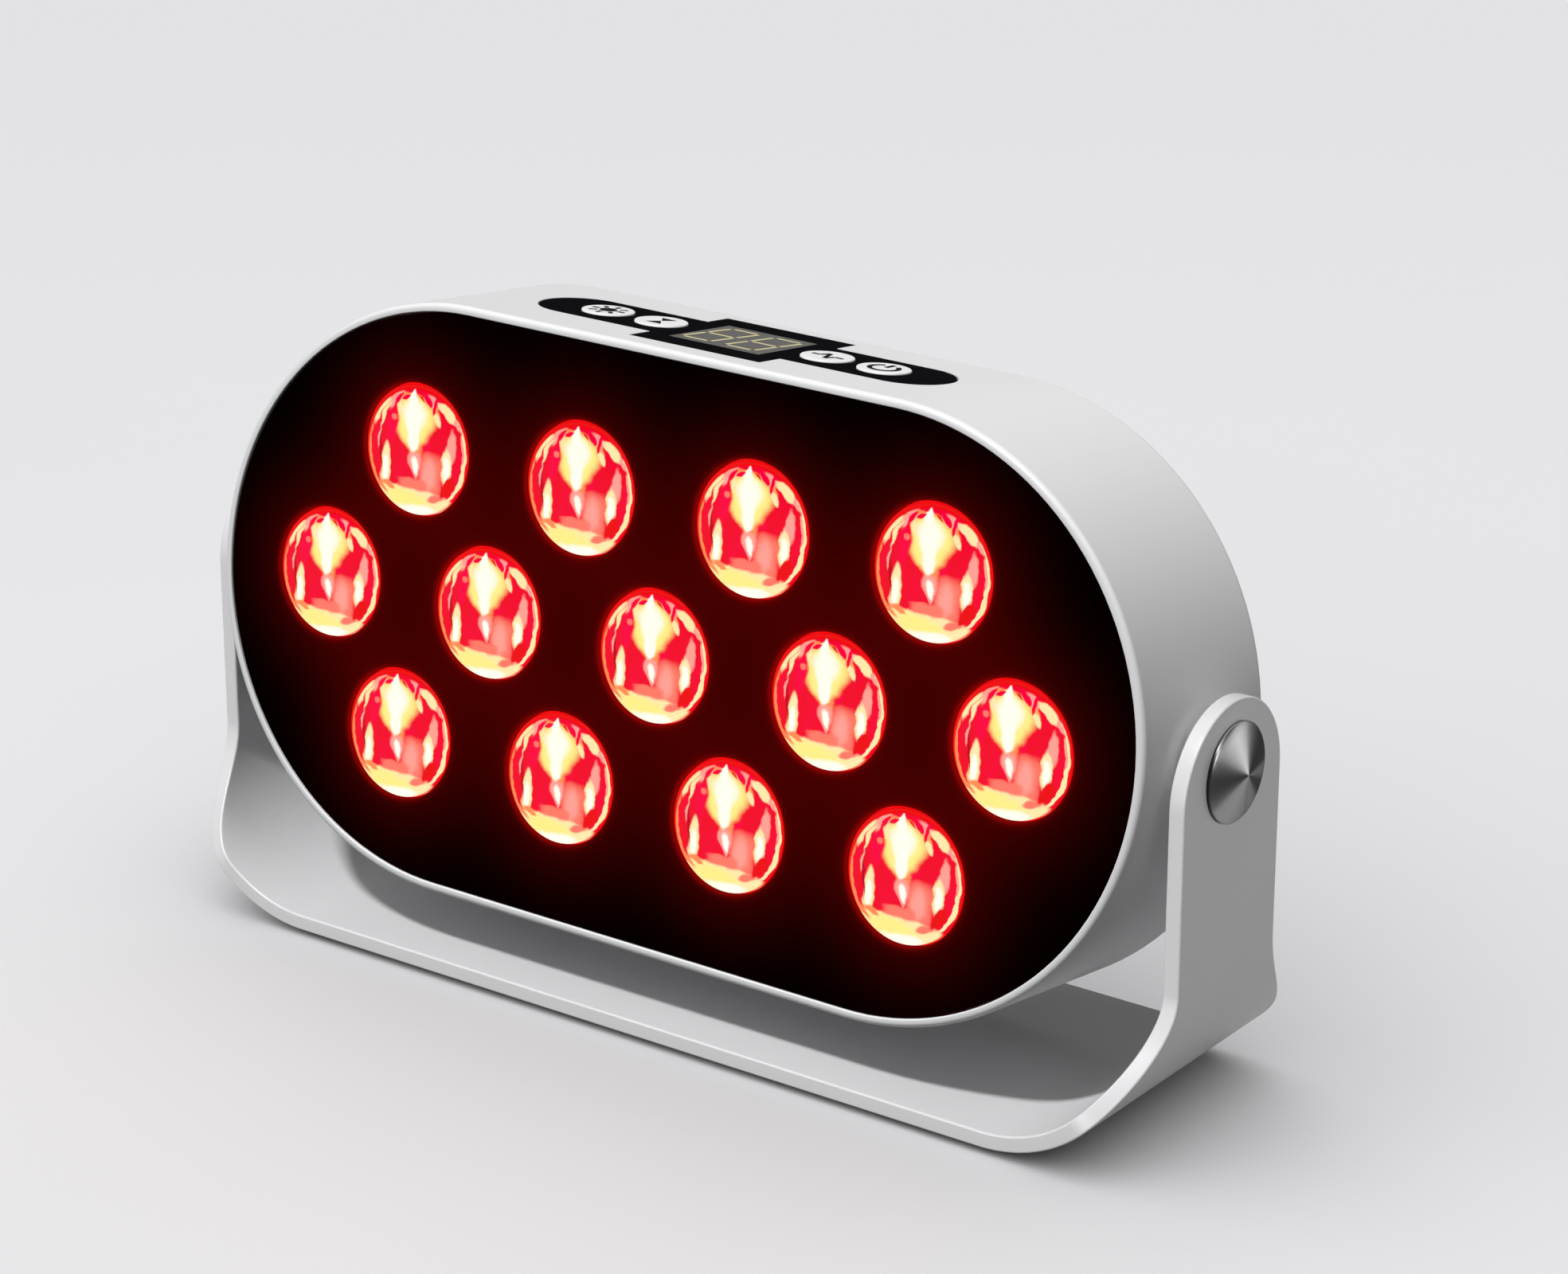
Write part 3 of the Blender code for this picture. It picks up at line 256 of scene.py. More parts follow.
# %% Plain materials
HOUSING_WHITE = new_material("housing_white", (0.83, 0.83, 0.84), 0.38, drift=0.02, grain=1400, relief=0.00001)
STAND_WHITE = new_material("stand_white", (0.64, 0.64, 0.65), 0.34, drift=0.03, grain=1000, relief=0.00002)
BLACK_FILM = new_material("black_film", (0.006, 0.006, 0.007), 0.42, drift=0.20, grain=2500, gloss=0.0)
BUTTON_WHITE = new_material("button_white", (0.94, 0.94, 0.94), 0.35, drift=0.02, grain=2000, relief=0.000005)
GLYPH_INK = new_material("glyph_ink", (0.010, 0.010, 0.011), 0.50, drift=0.20, grain=4000, relief=0.000004, gloss=0.05)
BLACK_MOULDING = new_material("black_moulding", (0.018, 0.018, 0.020), 0.50, drift=0.15, grain=1500)
SCREW_STEEL = new_material(
    "screw_steel", (0.58, 0.58, 0.60), 0.30, metallic=1.0, drift=0.10, grain=3000, relief=0.000006
)
BRASS = new_material("brass", (0.78, 0.60, 0.28), 0.30, metallic=1.0, drift=0.12, grain=2000)
ALUMINIUM = new_material(
    "aluminium", (0.72, 0.72, 0.74), 0.38, metallic=1.0, drift=0.08, grain=800, stretch=(1, 1, 0.05)
)
NYLON = new_material("nylon", (0.62, 0.62, 0.60), 0.50, drift=0.05, grain=1200)
RUBBER = new_material("rubber", (0.045, 0.045, 0.045), 0.80, drift=0.25, grain=1800, relief=0.00006)
BOARD_WHITE = new_material("board_white", (0.74, 0.74, 0.71), 0.42, drift=0.06, grain=1200)
BOARD_GREEN = new_material("board_green", (0.02, 0.17, 0.07), 0.38, drift=0.25, grain=1600)

# %% [markdown]
# ## Spun metal for the knobs
#
# The knob's face was turned, so fine grooves run round its centre. Light spreads across the grooves, and the
# highlights become wedges that meet at the middle. Strong anisotropy across a radial tangent gives the moving part
# of that look. The rest is painted sheen: a colour ramp runs round the face by angle and paints bright and dark
# wedges into the metal's colour, so they turn with the knob.

# %% Spun metal
# Scale of the wave texture, which puts a groove every 0.75 mm
GROOVE_SCALE = 1 / 0.0024
GROOVE_DEPTH = 0.000004

# Angle in degrees from the right of the face, and how bright the painted sheen makes the metal there
PAINTED_SHEEN = (
    (0, 0.080), (30, 0.072), (50, 0.100), (68, 0.220), (80, 0.600), (99, 0.990), (115, 0.820), (130, 0.500),
    (142, 0.240), (152, 0.100), (168, 0.045), (186, 0.048), (204, 0.110), (216, 0.310), (250, 0.380), (282, 0.340),
    (288, 0.240), (294, 0.350), (311, 0.280), (319, 0.080), (334, 0.070), (340, 0.200), (350, 0.270), (356, 0.150),
)


def painted_sheen_round_the_face(material):
    """Painted sheen: the metal's colour, lighter or darker by its angle round the object's own Z axis."""
    x, y, _ = split(material, own_place(material))
    angle = calculate(material, "ARCTAN2", calculate(material, "MULTIPLY", x, -1.0), y)
    turns = calculate(material, "DIVIDE", angle, 2 * math.pi)
    share = calculate(material, "FRACT", calculate(material, "ADD", turns, 1.0))
    ramp = add_node(material, "ShaderNodeValToRGB", {"Fac": share})
    ramp.color_ramp.interpolation = "B_SPLINE"
    stops = ramp.color_ramp.elements
    while len(stops) > 1:
        stops.remove(stops[-1])
    for degrees, level in PAINTED_SHEEN:
        stops.new(degrees / 360).color = (level, level, level, 1.0)
    stops.remove(stops[0])
    return ramp.outputs["Color"]


def spun_metal():
    """Metal with concentric grooves round the object's own Z axis, with a painted sheen for its colour."""
    material = new_material("spun_metal", (0.9, 0.9, 0.9), 0.30, metallic=1.0, grain=3000)
    inputs = {"Vector": own_place(material), "Scale": GROOVE_SCALE, "Distortion": 0.6}
    grooves = add_node(material, "ShaderNodeTexWave", inputs, wave_type="RINGS", rings_direction="Z")
    tangent = add_node(material, "ShaderNodeTangent", direction_type="RADIAL", axis="Z")
    look = {
        # The base colour is the painted sheen: bright and dark wedges by angle round the face
        "Base Color": painted_sheen_round_the_face(material),
        "Normal": bump(material, grooves.outputs["Fac"], GROOVE_DEPTH, 0.5),
        "Specular Tint": (0.35, 0.35, 0.35, 1.0),
        "Anisotropic": 0.6,
        "Anisotropic Rotation": 0.25,
        "Tangent": tangent.outputs["Tangent"],
    }
    feed(surface(material), look)
    return material


SPUN_METAL = spun_metal()

# %% [markdown]
# ## The black panel and its glow
#
# The panel is a smoked plate. Red light leaks round each lens and spreads through it: a tight halo at the lens's
# edge and a faint wide glow that fills the space between the lenses. Both are worked out from the lens centres, so
# the panel is black at its ends and dark red in the middle, as in the photograph.

# %% Lens places
LENS_RADIUS = 0.01275


def lens_places():
    """Centres of the lenses on the lit face, row by row from the top."""
    places = []
    for row, count in enumerate(LENSES_IN_ROWS):
        z = ((len(LENSES_IN_ROWS) - 1) / 2 - row) * ROW_PITCH
        places += [((column - (count - 1) / 2) * LENS_PITCH, z) for column in range(count)]
    return places


print(len(lens_places()), "lenses")

# %% Panel material
HALO_WIDTH = 0.0004
HALO_STRENGTH = 0.35
GLOW_REACH = 0.0180
GLOW_POWER = 1.5
GLOW_STRENGTH = 0.0715


def panel_material():
    """Smoked black, with a halo and a wide glow round each lens."""
    smoked = (0.0010, 0.0004, 0.0004)
    material = new_material("panel_black", smoked, 0.30, drift=0.3, grain=1500, relief=0.000004, gloss=0.0)
    place = own_place(material)
    halo = 0.0
    glow = 0.0
    for x, z in lens_places():
        distance = calculate_vector(material, "DISTANCE", place, (x, panel_front, z))
        edge = calculate(material, "SUBTRACT", LENS_RADIUS, distance)
        near = calculate(material, "EXPONENT", calculate(material, "DIVIDE", edge, HALO_WIDTH))
        spread = calculate(material, "POWER", calculate(material, "DIVIDE", distance, GLOW_REACH), 2.0)
        wide = calculate(material, "EXPONENT", calculate(material, "MULTIPLY", spread, -1.0))
        halo = calculate(material, "ADD", near, halo)
        glow = calculate(material, "ADD", wide, glow)
    bright = calculate(material, "MULTIPLY", calculate(material, "MINIMUM", halo, 1.0), HALO_STRENGTH)
    dim = calculate(material, "MULTIPLY", calculate(material, "POWER", glow, GLOW_POWER), GLOW_STRENGTH)
    light = calculate(material, "ADD", bright, dim)
    feed(surface(material), {"Emission Color": (1.0, 0.005, 0.003, 1.0), "Emission Strength": light})
    return material


PANEL_BLACK = panel_material()

# %% [markdown]
# ## The lit lens
#
# Behind each lens sits one red emitter in a faceted collimator. Seen from the front, its facets throw the emitter
# back as patches: a white-hot shield at the top that narrows to the middle, tall streaks at the sides, a pale
# crescent at the bottom and crimson wedges between them, inside a pure red rim. Each patch is one soft shape, an
# oval, a pointed leaf, a shield or a block, in shares of the lens's radius. Patches that follow the rim are placed
# by their angle and radius instead. A little noise bends all their edges, as the facets do.

# %% Lens colours
CRIMSON = (0.97, 0.0, 0.050, 1.0)
DEEP_RED = (0.45, 0.0, 0.012, 1.0)
PURE_RED = (0.85, 0.003, 0.004, 1.0)
ORANGE = (1.0, 0.27, 0.09, 1.0)
SALMON = (1.0, 0.20, 0.14, 1.0)
PINK = (1.0, 0.36, 0.30, 1.0)
CREAM = (1.0, 0.82, 0.42, 1.0)
YELLOW = (1.0, 0.88, 0.26, 1.0)
WHITE = (1.0, 1.0, 0.88, 1.0)

# Powers of the distances across and along a patch
LEAF = (1.0, 2.0)
OVAL = (2.0, 2.0)
SHIELD = (1.5, 2.4)
BLOCK = (4.0, 4.0)

# %% Lens patches
# Centre, half sizes, turn in degrees, widening towards the top, shape, softness, colour
FACE_PATCHES = (
    ((0.30, -0.36), (0.21, 0.34), -8, 0.0, BLOCK, 0.90, SALMON),
    ((0.28, -0.34), (0.13, 0.24), -8, 0.0, OVAL, 0.95, PINK),
    ((-0.04, -0.54), (0.26, 0.10), 0, 0.0, BLOCK, 0.90, SALMON),
    ((0.00, -0.04), (0.12, 0.13), 0, 0.0, OVAL, 0.60, ORANGE),
    ((0.66, 0.16), (0.09, 0.24), -6, -0.3, OVAL, 0.50, PINK),
    ((-0.44, 0.70), (0.10, 0.20), -50, 0.0, OVAL, 0.40, PINK),
    ((-0.16, 0.80), (0.20, 0.07), 4, 0.0, OVAL, 0.50, ORANGE),
    ((0.24, 0.78), (0.16, 0.09), -24, 0.0, OVAL, 0.40, PINK),
    ((0.35, 0.62), (0.05, 0.10), 10, 0.0, OVAL, 0.50, ORANGE),
    ((-0.075, 0.40), (0.37, 0.40), 0, 0.40, SHIELD, 0.45, YELLOW),
    ((0.36, 0.52), (0.06, 0.12), 25, 0.0, OVAL, 0.50, CREAM),
    ((-0.34, 0.58), (0.06, 0.12), 12, 0.0, OVAL, 0.50, CREAM),
    ((-0.08, 0.48), (0.21, 0.24), 0, 0.2, OVAL, 0.80, WHITE),
    ((-0.06, 0.20), (0.11, 0.26), 4, 0.3, OVAL, 0.50, WHITE),
    ((-0.13, 0.76), (0.07, 0.21), 0, -0.5, LEAF, 0.35, WHITE),
    ((-0.40, 0.73), (0.04, 0.12), -42, 0.0, LEAF, 0.30, CRIMSON),
    ((-0.25, 0.78), (0.035, 0.09), -60, 0.0, LEAF, 0.30, CRIMSON),
    ((0.04, 0.80), (0.02, 0.09), 55, 0.0, LEAF, 0.30, PURE_RED),
    ((0.16, 0.80), (0.05, 0.15), 36, 0.0, LEAF, 0.30, CRIMSON),
    ((0.31, 0.74), (0.04, 0.17), -8, 0.0, LEAF, 0.30, CRIMSON),
    ((-0.59, -0.32), (0.095, 0.33), -2, -0.25, OVAL, 0.35, CREAM),
    ((-0.59, -0.38), (0.055, 0.20), -2, 0.0, OVAL, 0.40, WHITE),
    ((-0.69, -0.12), (0.020, 0.38), 3, 0.0, LEAF, 0.40, DEEP_RED),
    ((-0.74, 0.09), (0.028, 0.17), -3, 0.0, LEAF, 0.50, PINK),
    ((-0.66, 0.44), (0.040, 0.22), -24, 0.0, LEAF, 0.40, CREAM),
    ((-0.49, 0.38), (0.10, 0.36), -4, -0.5, LEAF, 0.30, CRIMSON),
    ((-0.47, 0.42), (0.045, 0.05), 20, 0.0, OVAL, 0.60, SALMON),
    ((0.60, -0.19), (0.09, 0.29), 2, -0.2, OVAL, 0.35, CREAM),
    ((0.60, -0.21), (0.06, 0.19), 2, 0.0, OVAL, 0.40, WHITE),
    ((0.00, -0.23), (0.12, 0.20), 6, 0.55, OVAL, 0.40, PINK),
    ((0.01, -0.24), (0.065, 0.13), 6, 0.3, OVAL, 0.50, WHITE),
    ((0.20, 0.08), (0.03, 0.14), -40, 0.0, LEAF, 0.50, CRIMSON),
    ((0.0, -0.98), (0.80, 0.37), 0, 0.0, BLOCK, 0.35, CREAM),
    ((-0.14, -0.80), (0.44, 0.15), -4, 0.0, OVAL, 0.90, YELLOW),
    ((0.06, -0.93), (0.36, 0.09), 2, 0.0, OVAL, 0.80, WHITE),
    ((-0.52, -0.64), (0.14, 0.05), -20, 0.0, OVAL, 0.60, ORANGE),
    ((0.42, -0.68), (0.16, 0.06), 24, 0.0, OVAL, 0.60, SALMON),
    ((0.62, -0.48), (0.08, 0.20), -38, 0.4, OVAL, 0.30, PURE_RED),
)
# The same for patches along the rim, with angle in degrees from the bottom, and radius
RIM_PATCHES = (
    ((-124, 0.91), (16, 0.060), 0, 0.0, OVAL, 0.40, CREAM),
    ((140, 0.87), (15, 0.070), 0, 0.0, OVAL, 0.40, CREAM),
    ((122, 0.90), (7, 0.035), 0, 0.0, OVAL, 0.50, PINK),
    ((-72, 0.95), (36, 0.034), 0, 0.0, BLOCK, 0.50, ORANGE),
    ((84, 0.93), (42, 0.030), 0, 0.0, BLOCK, 0.50, CREAM),
    ((100, 0.89), (14, 0.022), 0, 0.0, OVAL, 0.50, PINK),
)
RED_RIM_CENTRE = (0.005, -0.040)
RED_RIM_RADIUS = 0.958
RED_RIM_SOFTNESS = 0.025
NARROWEST = 0.05
BEND_SCALE = 3.4
BEND_AMOUNT = 0.16
RED_SCALE = 500
RED_STRETCH = (1, 0.35, 1)
LENS_GRAIN = 1800
LENS_ROUGHNESS = (0.12, 0.22)


# %% Lens material
def lens_coordinates(material):
    """Places over the lens in shares of its radius: plain ones, and bent ones as places and as angle and radius."""
    shares = (1 / LENS_RADIUS, 1 / LENS_RADIUS, 0)
    plain = calculate_vector(material, "MULTIPLY", own_place(material), shares)
    texture = add_node(material, "ShaderNodeTexNoise", {"Vector": plain, "Scale": BEND_SCALE, "Detail": 3.0})
    centred = calculate_vector(material, "SUBTRACT", texture.outputs["Color"], (0.5, 0.5, 0.5))
    bent = calculate_vector(material, "MULTIPLY_ADD", centred, (BEND_AMOUNT, BEND_AMOUNT, 0), plain)
    x, y, _ = split(material, bent)
    angle = calculate(material, "ARCTAN2", x, calculate(material, "MULTIPLY", y, -1.0))
    inputs = {"X": calculate(material, "DEGREES", angle), "Y": calculate_vector(material, "LENGTH", bent)}
    return plain, bent, add_node(material, "ShaderNodeCombineXYZ", inputs).outputs["Vector"]


def patch_share(material, places, centre, half_sizes, turn, widening, shape, softness):
    """1 inside a patch and 0 outside it, with a soft edge."""
    inputs = {"Vector": places, "Location": (*centre, 0), "Scale": (*half_sizes, 1)}
    inputs["Rotation"] = (0, 0, math.radians(turn))
    place = add_node(material, "ShaderNodeMapping", inputs, vector_type="TEXTURE").outputs["Vector"]
    across, along, _ = split(material, calculate_vector(material, "ABSOLUTE", place))
    if widening:
        width = calculate(material, "MULTIPLY_ADD", split(material, place)[1], widening, 1.0)
        across = calculate(material, "DIVIDE", across, calculate(material, "MAXIMUM", width, NARROWEST))
    across = calculate(material, "POWER", across, shape[0])
    along = calculate(material, "POWER", along, shape[1])
    away = calculate(material, "ADD", across, along)
    return rescale(material, away, (1 - softness, 1 + softness), (1, 0), "SMOOTHSTEP")


def lens_material():
    """A lit collimator lens under a clear, slightly crowned front."""
    material = blank_material("lit_lens")
    plain, bent, round_place = lens_coordinates(material)
    colour = blend(material, noise(material, RED_SCALE, 2.0, RED_STRETCH), PURE_RED, CRIMSON)
    for places, patches in ((bent, FACE_PATCHES), (round_place, RIM_PATCHES)):
        for *form, patch_colour in patches:
            colour = blend(material, patch_share(material, places, *form), colour, patch_colour)
    rim = (RED_RIM_CENTRE, (RED_RIM_RADIUS, RED_RIM_RADIUS), 0, 0.0, OVAL, RED_RIM_SOFTNESS)
    look = {
        "Emission Color": blend(material, patch_share(material, plain, *rim), PURE_RED, colour),
        "Emission Strength": 1.0,
        "Base Color": (0.01, 0.0, 0.0, 1.0),
        "Roughness": rescale(material, noise(material, LENS_GRAIN, 3.0), (0, 1), LENS_ROUGHNESS),
        "Specular IOR Level": 0.08,
    }
    feed(surface(material), look)
    return material


LIT_LENS = lens_material()
print(len(FACE_PATCHES) + len(RIM_PATCHES), "patches in each lens")

# %% [markdown]
# ## Display materials
#
# The display's window is grey rather than black, with figures in a dull olive yellow that glow faintly.

# %% Display materials
DISPLAY_GLASS = new_material(
    "display_glass", (0.135, 0.130, 0.122), 0.30, drift=0.15, grain=500, relief=0.000003, gloss=0.12
)
SEGMENT = new_material("segment", (0.46, 0.42, 0.26), 0.40, drift=0.15, grain=2500, relief=0.000003, gloss=0.1)
feed(surface(SEGMENT), {"Emission Color": (0.52, 0.45, 0.22, 1.0), "Emission Strength": 0.45})

# %% [markdown]
# ## Shape helpers
#
# Three ways of making a shape cover nearly the whole lamp: a skin over a row of rings, a turned profile, and a flat
# plate with holes and eased edges. A piece is added with the body that carries it and the CAD nodes that it stands
# for.

# %% Outlines
def arc(radius, centre, start, sweep, steps):
    """Points along a circular arc, both ends included."""
    angles = [math.radians(start + sweep * step / steps) for step in range(steps + 1)]
    return [(centre[0] + radius * math.cos(a), centre[1] + radius * math.sin(a)) for a in angles]


def circle(radius, centre=(0, 0), steps=TURN_STEPS):
    """Points round a full circle."""
    return arc(radius, centre, 0, 360, steps)[:-1]


def obround(half_long, half_wide, centre=(0, 0), steps=END_STEPS):
    """Two half circles joined by straight runs."""
    reach = half_long - half_wide
    right = arc(half_wide, (centre[0] + reach, centre[1]), -90, 180, steps)
    left = arc(half_wide, (centre[0] - reach, centre[1]), 90, 180, steps)
    return right + left


def bar(centre, length, width, angle=0.0):
    """A rectangle about its centre, turned by an angle in degrees."""
    cosine = math.cos(math.radians(angle)) / 2
    sine = math.sin(math.radians(angle)) / 2
    corners = ((length, -width), (length, width), (-length, width), (-length, -width))
    return [(centre[0] + x * cosine - y * sine, centre[1] + x * sine + y * cosine) for x, y in corners]


def rounded_edge(radius, edge):
    """The rounded edge of a disc whose top is at height zero, from its top to its side."""
    return arc(edge, (radius - edge, -edge), 90, -90, ROUND_STEPS)


# %% Meshes
MERGE = 0.0000001


def finished(bm, name):
    """Closes the poles, turns the faces outwards and hands over a mesh."""
    bmesh.ops.remove_doubles(bm, verts=bm.verts, dist=MERGE)
    bmesh.ops.recalc_face_normals(bm, faces=bm.faces)
    mesh = bpy.data.meshes.new(name)
    bm.to_mesh(mesh)
    bm.free()
    return mesh


def skin(bm, near, far):
    """Faces between two rings."""
    count = len(near)
    for i in range(count):
        j = (i + 1) % count
        bm.faces.new((near[i], near[j], far[j], far[i]))


def loft(name, rings, closed=False):
    """A skin over rings that all have the same number of points. A closed one also joins the last ring to the first."""
    bm = bmesh.new()
    rows = [[bm.verts.new(point) for point in ring] for ring in rings]
    for near, far in zip(rows, rows[1:]):
        skin(bm, near, far)
    if closed:
        skin(bm, rows[-1], rows[0])
    return finished(bm, name)


def turned(name, profile, closed=False, steps=TURN_STEPS):
    """A profile of (radius, height) points turned about Z."""
    rings = [[(x, y, height) for x, y in circle(radius, steps=steps)] for radius, height in profile]
    return loft(name, rings, closed)


def mesh_of(obj):
    """What an object looks like with its modifiers. The object itself goes."""
    bpy.context.view_layer.update()
    mesh = bpy.data.meshes.new_from_object(obj.evaluated_get(bpy.context.evaluated_depsgraph_get()))
    bpy.data.objects.remove(obj)
    return mesh


def plate(name, outlines, near, far, edge, lay=FACING_FORWARDS):
    """A flat plate between two depths, or two heights. Its outer edge and the edges of its holes are eased."""
    curve = bpy.data.curves.new(name, "CURVE")
    curve.dimensions = "2D"
    curve.fill_mode = "BOTH"
    curve.extrude = (far - near) / 2 - edge
    curve.bevel_depth = edge
    curve.bevel_resolution = 2
    curve.offset = -edge
    for outline in outlines:
        spline = curve.splines.new("POLY")
        spline.points.add(len(outline) - 1)
        for point, (x, y) in zip(spline.points, outline):
            point.co = (x, y, 0, 1)
        spline.use_cyclic_u = True
    mesh = mesh_of(show(name, curve))
    middle = (near + far) / 2
    lift = (0, middle, 0) if lay is FACING_FORWARDS else (0, 0, middle)
    mesh.transform(Matrix.Translation(lift) @ lay)
    bm = bmesh.new()
    bm.from_mesh(mesh)
    bpy.data.meshes.remove(mesh)
    return finished(bm, name)


def cut(mesh, tool_mesh):
    """The mesh with the tool cut out of it."""
    target = show("cut_target", mesh)
    tool = show("cut_tool", tool_mesh)
    modifier = target.modifiers.new("cut", "BOOLEAN")
    modifier.operation = "DIFFERENCE"
    modifier.solver = "EXACT"
    modifier.object = tool
    result = mesh_of(target)
    bpy.data.objects.remove(tool)
    return result


# %% Adding a piece
def add_piece(name, mesh, material, body="head", place=HEAD, stands_for=()):
    """Shows a mesh as a piece that rides on a body, in the place of the CAD nodes that it stands for."""
    piece = show(name, mesh)
    mesh.materials.append(material)
    mesh.shade_smooth()
    mesh.set_sharp_from_angle(angle=math.radians(SMOOTH_ANGLE))
    piece.modifiers.new("even_shading", "WEIGHTED_NORMAL").keep_sharp = True
    piece.matrix_world = place
    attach(piece, body)
    if stands_for:
        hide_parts(*stands_for)
    return piece


# %% [markdown]
# ## Housing
#
# The housing is one moulding: an obround tube with a thin land round the lit face. Its wall is drawn once as a
# closed section of (inset, depth) points, with each edge rounded as the mould's would be, and carried round the
# obround. The recess for the control strip is cut afterwards with a Boolean, as it crosses only the flat top.

# %% Housing section
def wall_section():
    """The housing's wall as (inset, depth) points: round the land, the outside, the back edge and the inner ledge."""
    ledge_front = panel_back + GAP
    ledge_back = ledge_front + LEDGE_THICKNESS
    corners = (
        (SMALL_RADIUS, (RIM_WIDTH - SMALL_RADIUS, FRONT + SMALL_RADIUS), 0),
        (RIM_RADIUS, (RIM_RADIUS, FRONT + RIM_RADIUS), -90),
        (REAR_RADIUS, (REAR_RADIUS, REAR - REAR_RADIUS), 180),
        (SMALL_RADIUS, (WALL - SMALL_RADIUS, REAR - SMALL_RADIUS), 90),
    )
    section = [(RIM_WIDTH, ledge_front)]
    for radius, centre, start in corners:
        section += arc(radius, centre, start, -90, ROUND_STEPS)
    ledge_inset = RIM_WIDTH + LEDGE_WIDTH
    return section + [(WALL, ledge_back), (ledge_inset, ledge_back), (ledge_inset, ledge_front)]


# %% Control strip outline
STRIP_THICKNESS = 0.0009
STRIP_WIDTH = 0.0178
STRIP_HALF_LENGTH = 0.0465
BLOCK_LENGTH = 0.0296
BLOCK_WIDTH = 0.0308


def strip_outline(clearance=0.0):
    """An obround with a wide block across its middle, grown by a clearance."""
    half = STRIP_WIDTH / 2 + clearance
    reach = STRIP_HALF_LENGTH - STRIP_WIDTH / 2
    x = BLOCK_LENGTH / 2 + clearance
    y = BLOCK_WIDTH / 2 + clearance
    right = arc(half, (reach, 0), -90, 180, SMALL_STEPS)
    left = arc(half, (-reach, 0), 90, 180, SMALL_STEPS)
    return right + [(x, half), (x, y), (-x, y), (-x, half)] + left + [(-x, -half), (-x, -y), (x, -y), (x, -half)]


# %% Build the housing
def housing_mesh():
    """The wall carried round the obround, with the strip's recess cut into the top."""
    rings = []
    for inset, depth in wall_section():
        rings.append([(x, depth, z) for x, z in obround(HALF_LENGTH - inset, HALF_HEIGHT - inset)])
    shell = loft("housing_shell", rings, closed=True)
    floor = HALF_HEIGHT - STRIP_THICKNESS - GAP
    seat = plate("strip_seat", [strip_outline(GAP)], floor, HALF_HEIGHT + WALL, 0.0, FACING_UP)
    return cut(shell, seat)


shell_mesh = housing_mesh()
shell_mesh.transform(HEAD)
housing = add_piece("housing_shell", shell_mesh, HOUSING_WHITE, place=Matrix.Identity(4), stands_for=("housing",))
print("Housing:", len(housing.data.vertices), "points")

# %% [markdown]
# ## Lit face
#
# The black plate has thirteen windows, and a lens stands a little back in each. A lens is turned from one profile:
# a crowned front inside a fine groove and a rim, a flange behind the plate and a cone down to the emitter.

# %% Front panel
PANEL_EDGE = 0.00015

inset = RIM_WIDTH + GAP
windows = [circle(LENS_RADIUS + GAP, place) for place in lens_places()]
panel_outline = obround(HALF_LENGTH - inset, HALF_HEIGHT - inset)
panel_mesh = plate("lit_face", [panel_outline] + windows, panel_front, panel_back, PANEL_EDGE)
add_piece("lit_face", panel_mesh, PANEL_BLACK, stands_for=("front_panel",))

# %% Lenses
LENS_RECESS = 0.0004
LENS_DEPTH = 0.0110
LENS_CROWN = 0.0006
LENS_RIM = 0.0007
LENS_GROOVE = 0.0002
FLANGE_WIDTH = 0.0016
FLANGE_THICKNESS = 0.0010
LENS_BACK_RADIUS = 0.0065

lens_edge = panel_front + LENS_RECESS
lens_back = lens_edge + LENS_DEPTH


def lens_profile():
    """From the middle of the crowned front to the middle of the back."""
    crowned = LENS_RADIUS - LENS_RIM - LENS_GROOVE
    front = [(crowned * share, LENS_DEPTH + LENS_CROWN * (1 - share**2)) for share in SHARES]
    flange_top = LENS_DEPTH - (panel_back + GAP - lens_edge)
    return front + [
        (crowned + LENS_GROOVE / 2, LENS_DEPTH - LENS_GROOVE),
        (LENS_RADIUS - LENS_RIM, LENS_DEPTH),
        (LENS_RADIUS - LENS_GROOVE, LENS_DEPTH),
        (LENS_RADIUS, LENS_DEPTH - LENS_GROOVE),
        (LENS_RADIUS, flange_top),
        (LENS_RADIUS + FLANGE_WIDTH, flange_top),
        (LENS_RADIUS + FLANGE_WIDTH, flange_top - FLANGE_THICKNESS),
        (LENS_BACK_RADIUS, 0),
        (0, 0),
    ]


lens_mesh = turned("lens", lens_profile())
for number, (x, z) in enumerate(lens_places(), 1):
    place = on_head(x, lens_back, z, FACING_FORWARDS)
    add_piece(f"lit_lens_{number:02d}", lens_mesh.copy(), LIT_LENS, place=place, stands_for=(f"lens_{number:02d}",))

# %% [markdown]
# ## Controls on top
#
# A black film lies flush in its recess. The grey window in its wide middle shows two plain figures, and two white
# caps stand on either side of it, each with a generic sign printed on it.

# %% Film and window
WINDOW_LENGTH = 0.0208
WINDOW_WIDTH = 0.0190
BUTTON_RADIUS = 0.00515
BUTTON_XS = (-0.0321, -0.01935, 0.01935, 0.0321)
FILM_EDGE = 0.00008

film_bottom = HALF_HEIGHT - STRIP_THICKNESS
holes = [bar((0, 0), WINDOW_LENGTH, WINDOW_WIDTH)] + [circle(BUTTON_RADIUS + GAP / 2, (x, 0)) for x in BUTTON_XS]
film_mesh = plate("control_film", [strip_outline()] + holes, film_bottom, HALF_HEIGHT, FILM_EDGE, FACING_UP)
add_piece("control_film", film_mesh, BLACK_FILM, stands_for=("control_strip",))

pane = bar((0, 0), WINDOW_LENGTH - GAP / 2, WINDOW_WIDTH - GAP / 2)
pane_mesh = plate("display_pane", [pane], film_bottom, HALF_HEIGHT, FILM_EDGE, FACING_UP)
add_piece("display_pane", pane_mesh, DISPLAY_GLASS, stands_for=("display_window",))

# %% Flat signs
INK = 0.00003


